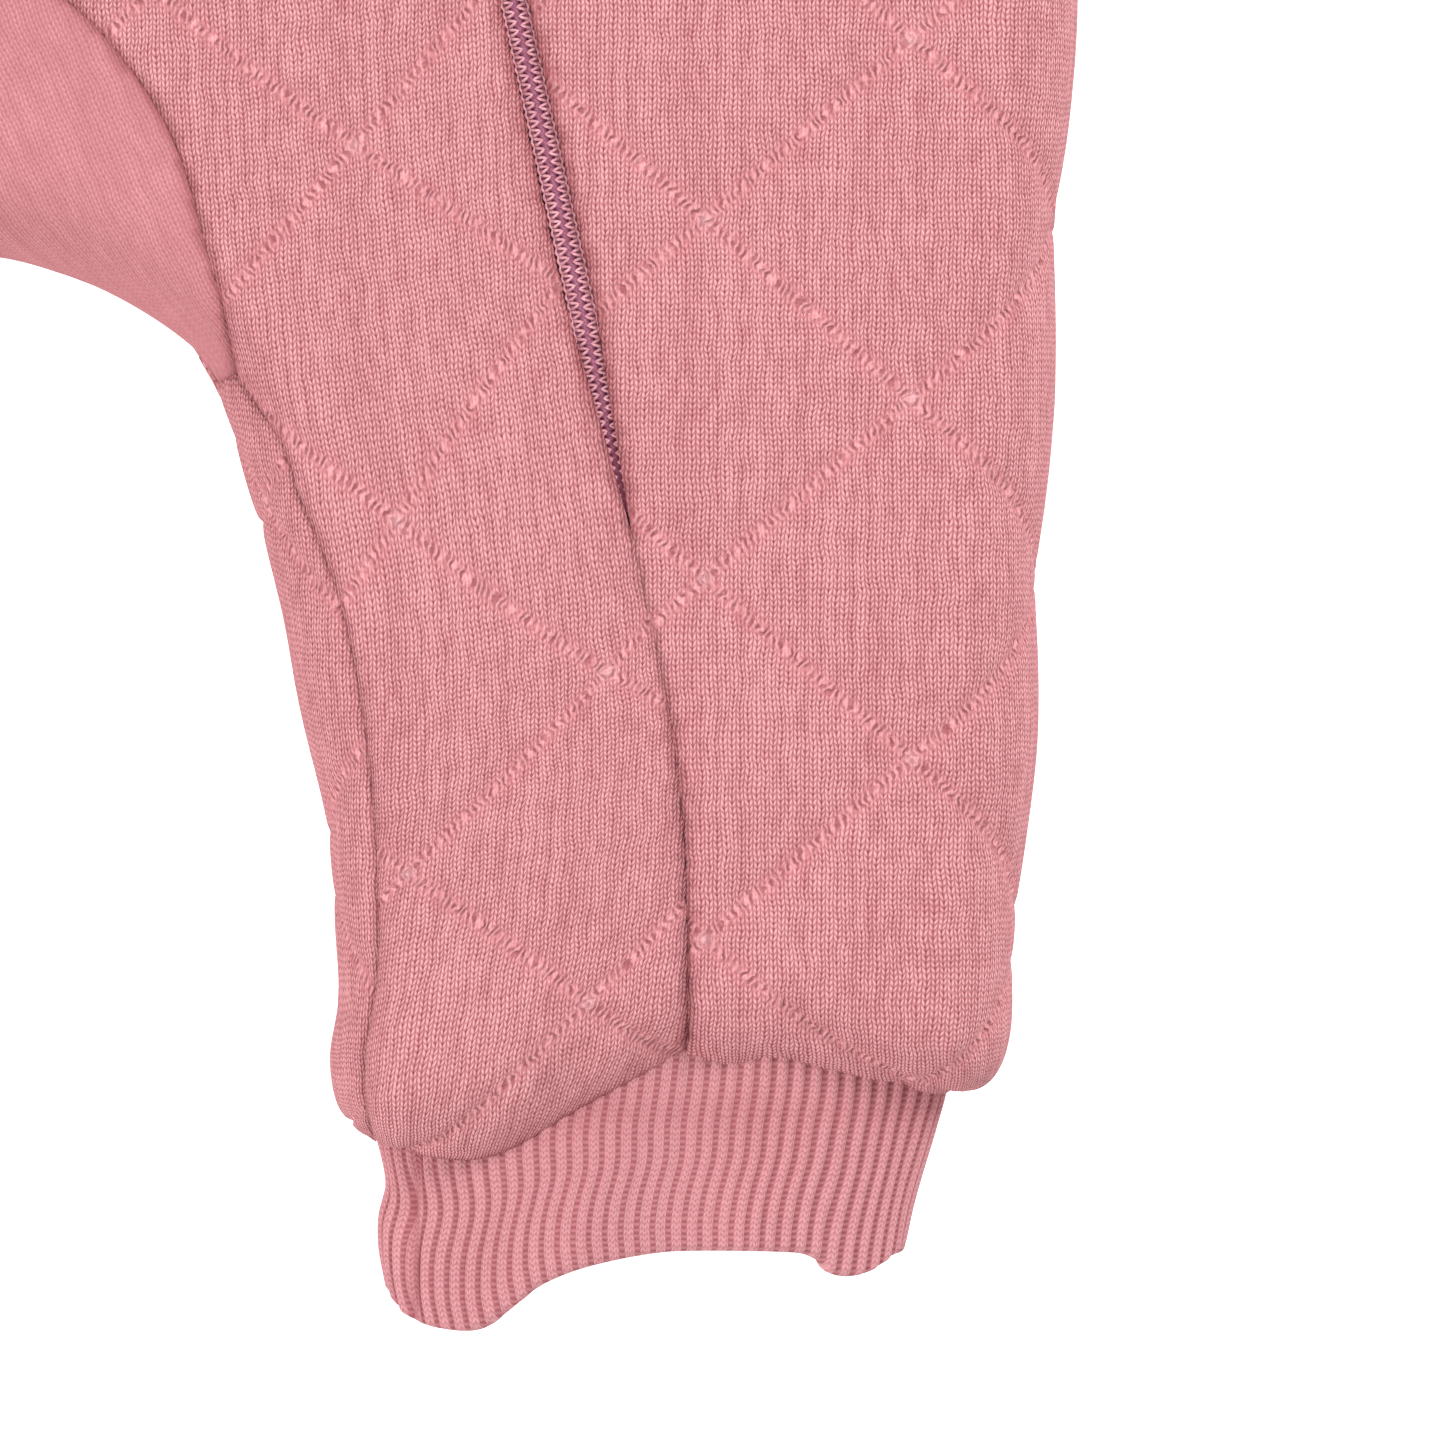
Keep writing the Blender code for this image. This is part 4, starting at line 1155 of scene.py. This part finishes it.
def build_shell():
    quilt = quilted_knit()
    jersey = plain_knit("gusset_jersey", (0.80, 0.78, 0.79, 1), crisp=0.4)
    lining = plain_knit("lining_jersey", (1.0, 1.0, 1.0, 1), 0.9, 0.75)
    main = assemble("front_quilted_cloth", [
        cut_panel(main_loop(), grain_main, SEAMS, zip_line=MAIN_EDGE, high=0.65)])
    left = assemble("front_left_quilted_cloth", [
        cut_panel(left_loop(), grain_left, SEAMS, zip_line=LEFT_EDGE, lip=0.8, high=0.65)])
    back = assemble("back_quilted_cloth", [
        cut_panel(back_loop(), grain_back, BACK_SEAMS, upper=False, spacing=2.0, high=0.0),
        cut_panel(wrap_loop(), grain_back, [(INNER, 0.45)], spacing=1.5, high=0.5),
        cut_panel(mirrored(wrap_loop())[::-1], grain_back, [(mirrored(INNER), 0.45)],
                  spacing=1.5, high=0.5)])
    gusset = assemble("crotch_gusset_cloth", [
        cut_panel(gusset_loop(), grain_gusset, [(GUSSET, 0.7)], quilted=False),
        cut_panel(gusset_loop(), grain_gusset, [(GUSSET, 0.7)], upper=False, quilted=False)])
    for piece, outer in ((main, quilt), (left, quilt), (back, quilt), (gusset, jersey)):
        thicken(piece, outer, lining)
    for piece, name in ((main, "front_main"), (back, "back")):
        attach(piece, "bag")
        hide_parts(f"{name}_panel", f"{name}_wadding", f"{name}_lining")
    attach(gusset, "bag")
    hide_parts("crotch_gusset", "gusset_lining")
    fold_blend(left)
    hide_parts(*(f"front_{p}_{q}" for p in ("left", "flap") for q in ("panel", "wadding", "lining")))


def build_ribs():
    rib = rib_knit()
    made = []
    for sign, side in ((1, "left"), (-1, "right")):
        made.append((cuff(sign, f"leg_cuff_{side}_rib"), f"leg_cuff_{side}"))
        made.append((armhole_band(sign, f"armhole_{side}_rib"), f"armhole_rib_{side}"))
    made.append((collar("collar_rib", 0.15, 1.0), "neck_rib"))
    flap = collar("collar_flap_rib", 0.0, 0.15)
    for piece, node in made:
        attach(piece, "bag")
        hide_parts(node)
    fold_blend(flap)
    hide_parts("neck_rib_flap")
    for piece in (*(p for p, _ in made), flap):
        piece.data.materials.append(rib)


def build_zip():
    coil = nylon("coil_nylon", (0.42, 0.15, 0.24, 1), (0.26, 0.07, 0.13, 1), 0.4)
    thread = nylon("stitching_thread", (0.86, 0.48, 0.52, 1), (0.62, 0.26, 0.31, 1), 0.75)
    tape = woven("zip_tape_weave", (0.62, 0.26, 0.31, 1), (0.40, 0.13, 0.18, 1))
    for sign, side in ((1, "left"), (-1, "right")):
        loops, sewn = chain(sign, f"zip_coil_{side}_loops")
        ribbon = strip(f"zip_tape_{side}_weave", sign * 0.4, sign * 10.5, 1.0, 467.0, 34.4)
        loops.data.materials.append(coil)
        sewn.data.materials.append(thread)
        ribbon.data.materials.append(tape)
        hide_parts(f"zip_coil_{side}")
        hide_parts(f"zip_tape_{side}")
        for piece in (loops, sewn, ribbon):
            if sign > 0:
                fold_blend(piece)
            else:
                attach(piece, "bag")


def build_bottom_stop():
    """The stop lies under the closed edges at the zip's foot."""
    stop = strip("zip_bottom_stop_clip", -1.5, 1.5, 3.0, 5.2, 35.2, thick=1.0)
    stop.data.materials.append(nylon("stop_nylon", (0.40, 0.14, 0.19, 1), (0.28, 0.08, 0.12, 1), 0.4))
    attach(stop, "bag")
    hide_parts("zip_bottom_stop")


def dress_frame():
    """Materials for the frame's own nodes that stay in view."""
    metal = cast_metal()
    trim = woven("trim_weave", (0.66, 0.30, 0.34, 1), (0.45, 0.16, 0.2, 1), 0.6)
    satin = woven("label_satin_weave", (0.86, 0.85, 0.83, 1), (0.72, 0.71, 0.69, 1), 0.3)
    jersey = woven("guard_jersey", (0.74, 0.33, 0.355, 1), (0.56, 0.20, 0.225, 1), 0.8)
    for material, names in (
        (metal, ("zip_slider", "zip_pull_tab", "zip_top_stop_left", "zip_top_stop_right")),
        (trim, ("hanger_loop",)),
        (satin, ("size_label", "care_label")),
        (jersey, ("zip_guard", "chin_guard")),
    ):
        for name in names:
            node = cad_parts[name]
            node.data.materials.clear()
            node.data.materials.append(material)


FLOOR_HALF, FLOOR_HEIGHT = 3, -0.0005


def set_stage():
    """A plain white floor, just under the bag, that also glows a little."""
    floor = bpy.data.objects.new("floor", bpy.data.meshes.new("floor"))
    signs = ((-1, -1), (1, -1), (1, 1), (-1, 1))
    corners = [(FLOOR_HALF * x, FLOOR_HALF * y, FLOOR_HEIGHT) for x, y in signs]
    floor.data.from_pydata(corners, [], [(0, 1, 2, 3)])
    place_in_scene(floor)
    material, n, shader = blank("white_backdrop", 0.9)
    shader.inputs["Base Color"].default_value = (0.85, 0.85, 0.85, 1)
    shader.inputs["Emission Color"].default_value = (1, 1, 1, 1)
    seen = n.add("ShaderNodeLightPath", {}).outputs["Is Camera Ray"]
    n.put(shader.inputs["Emission Strength"], n.plus(0.3, n.times(seen, 0.5)))
    floor.data.materials.append(material)


def lamp(name, place, aim, size, power):
    light = bpy.data.lights.new(name, "AREA")
    light.shape = "DISK"
    light.size = size
    light.energy = power
    stand = place_in_scene(bpy.data.objects.new(name, light))
    stand.location = place
    stand.rotation_euler = (Vector(aim) - Vector(place)).to_track_quat("-Z", "Y").to_euler()


def set_light():
    world = bpy.data.worlds.new("studio")
    world.use_nodes = True
    world.node_tree.nodes["Background"].inputs["Color"].default_value = (1, 1, 1, 1)
    world.node_tree.nodes["Background"].inputs["Strength"].default_value = 0.69
    bpy.context.scene.world = world
    aim = (0.1, -0.1, 0)
    lamp("key", (1.0, 0.7, 1.25), aim, 0.7, 19)
    lamp("fill", (-1.2, -0.7, 1.0), aim, 1.2, 17)
    bpy.context.scene.view_settings.view_transform = "Standard"


VIEW_WIDTH = 216.75  # how much the camera takes in, at the height of the cloth
VIEW_CENTRE = (112.9, -70.9)  # where it looks, in the plan
CAMERA_HEIGHT = 1.5
SENSOR = 36


def set_camera():
    data = bpy.data.cameras.new("camera")
    camera = place_in_scene(bpy.data.objects.new("camera", data))
    data.sensor_width = SENSOR
    data.lens = SENSOR * (CAMERA_HEIGHT - TOP * MM) / (VIEW_WIDTH * MM)
    data.clip_end = 20
    camera.location = (VIEW_CENTRE[0] * MM, (VIEW_CENTRE[1] + CROTCH_Y) * MM, CAMERA_HEIGHT)
    bpy.context.scene.camera = camera


build_shell()
build_ribs()
build_zip()
build_bottom_stop()
dress_frame()
set_stage()
set_light()
set_camera()
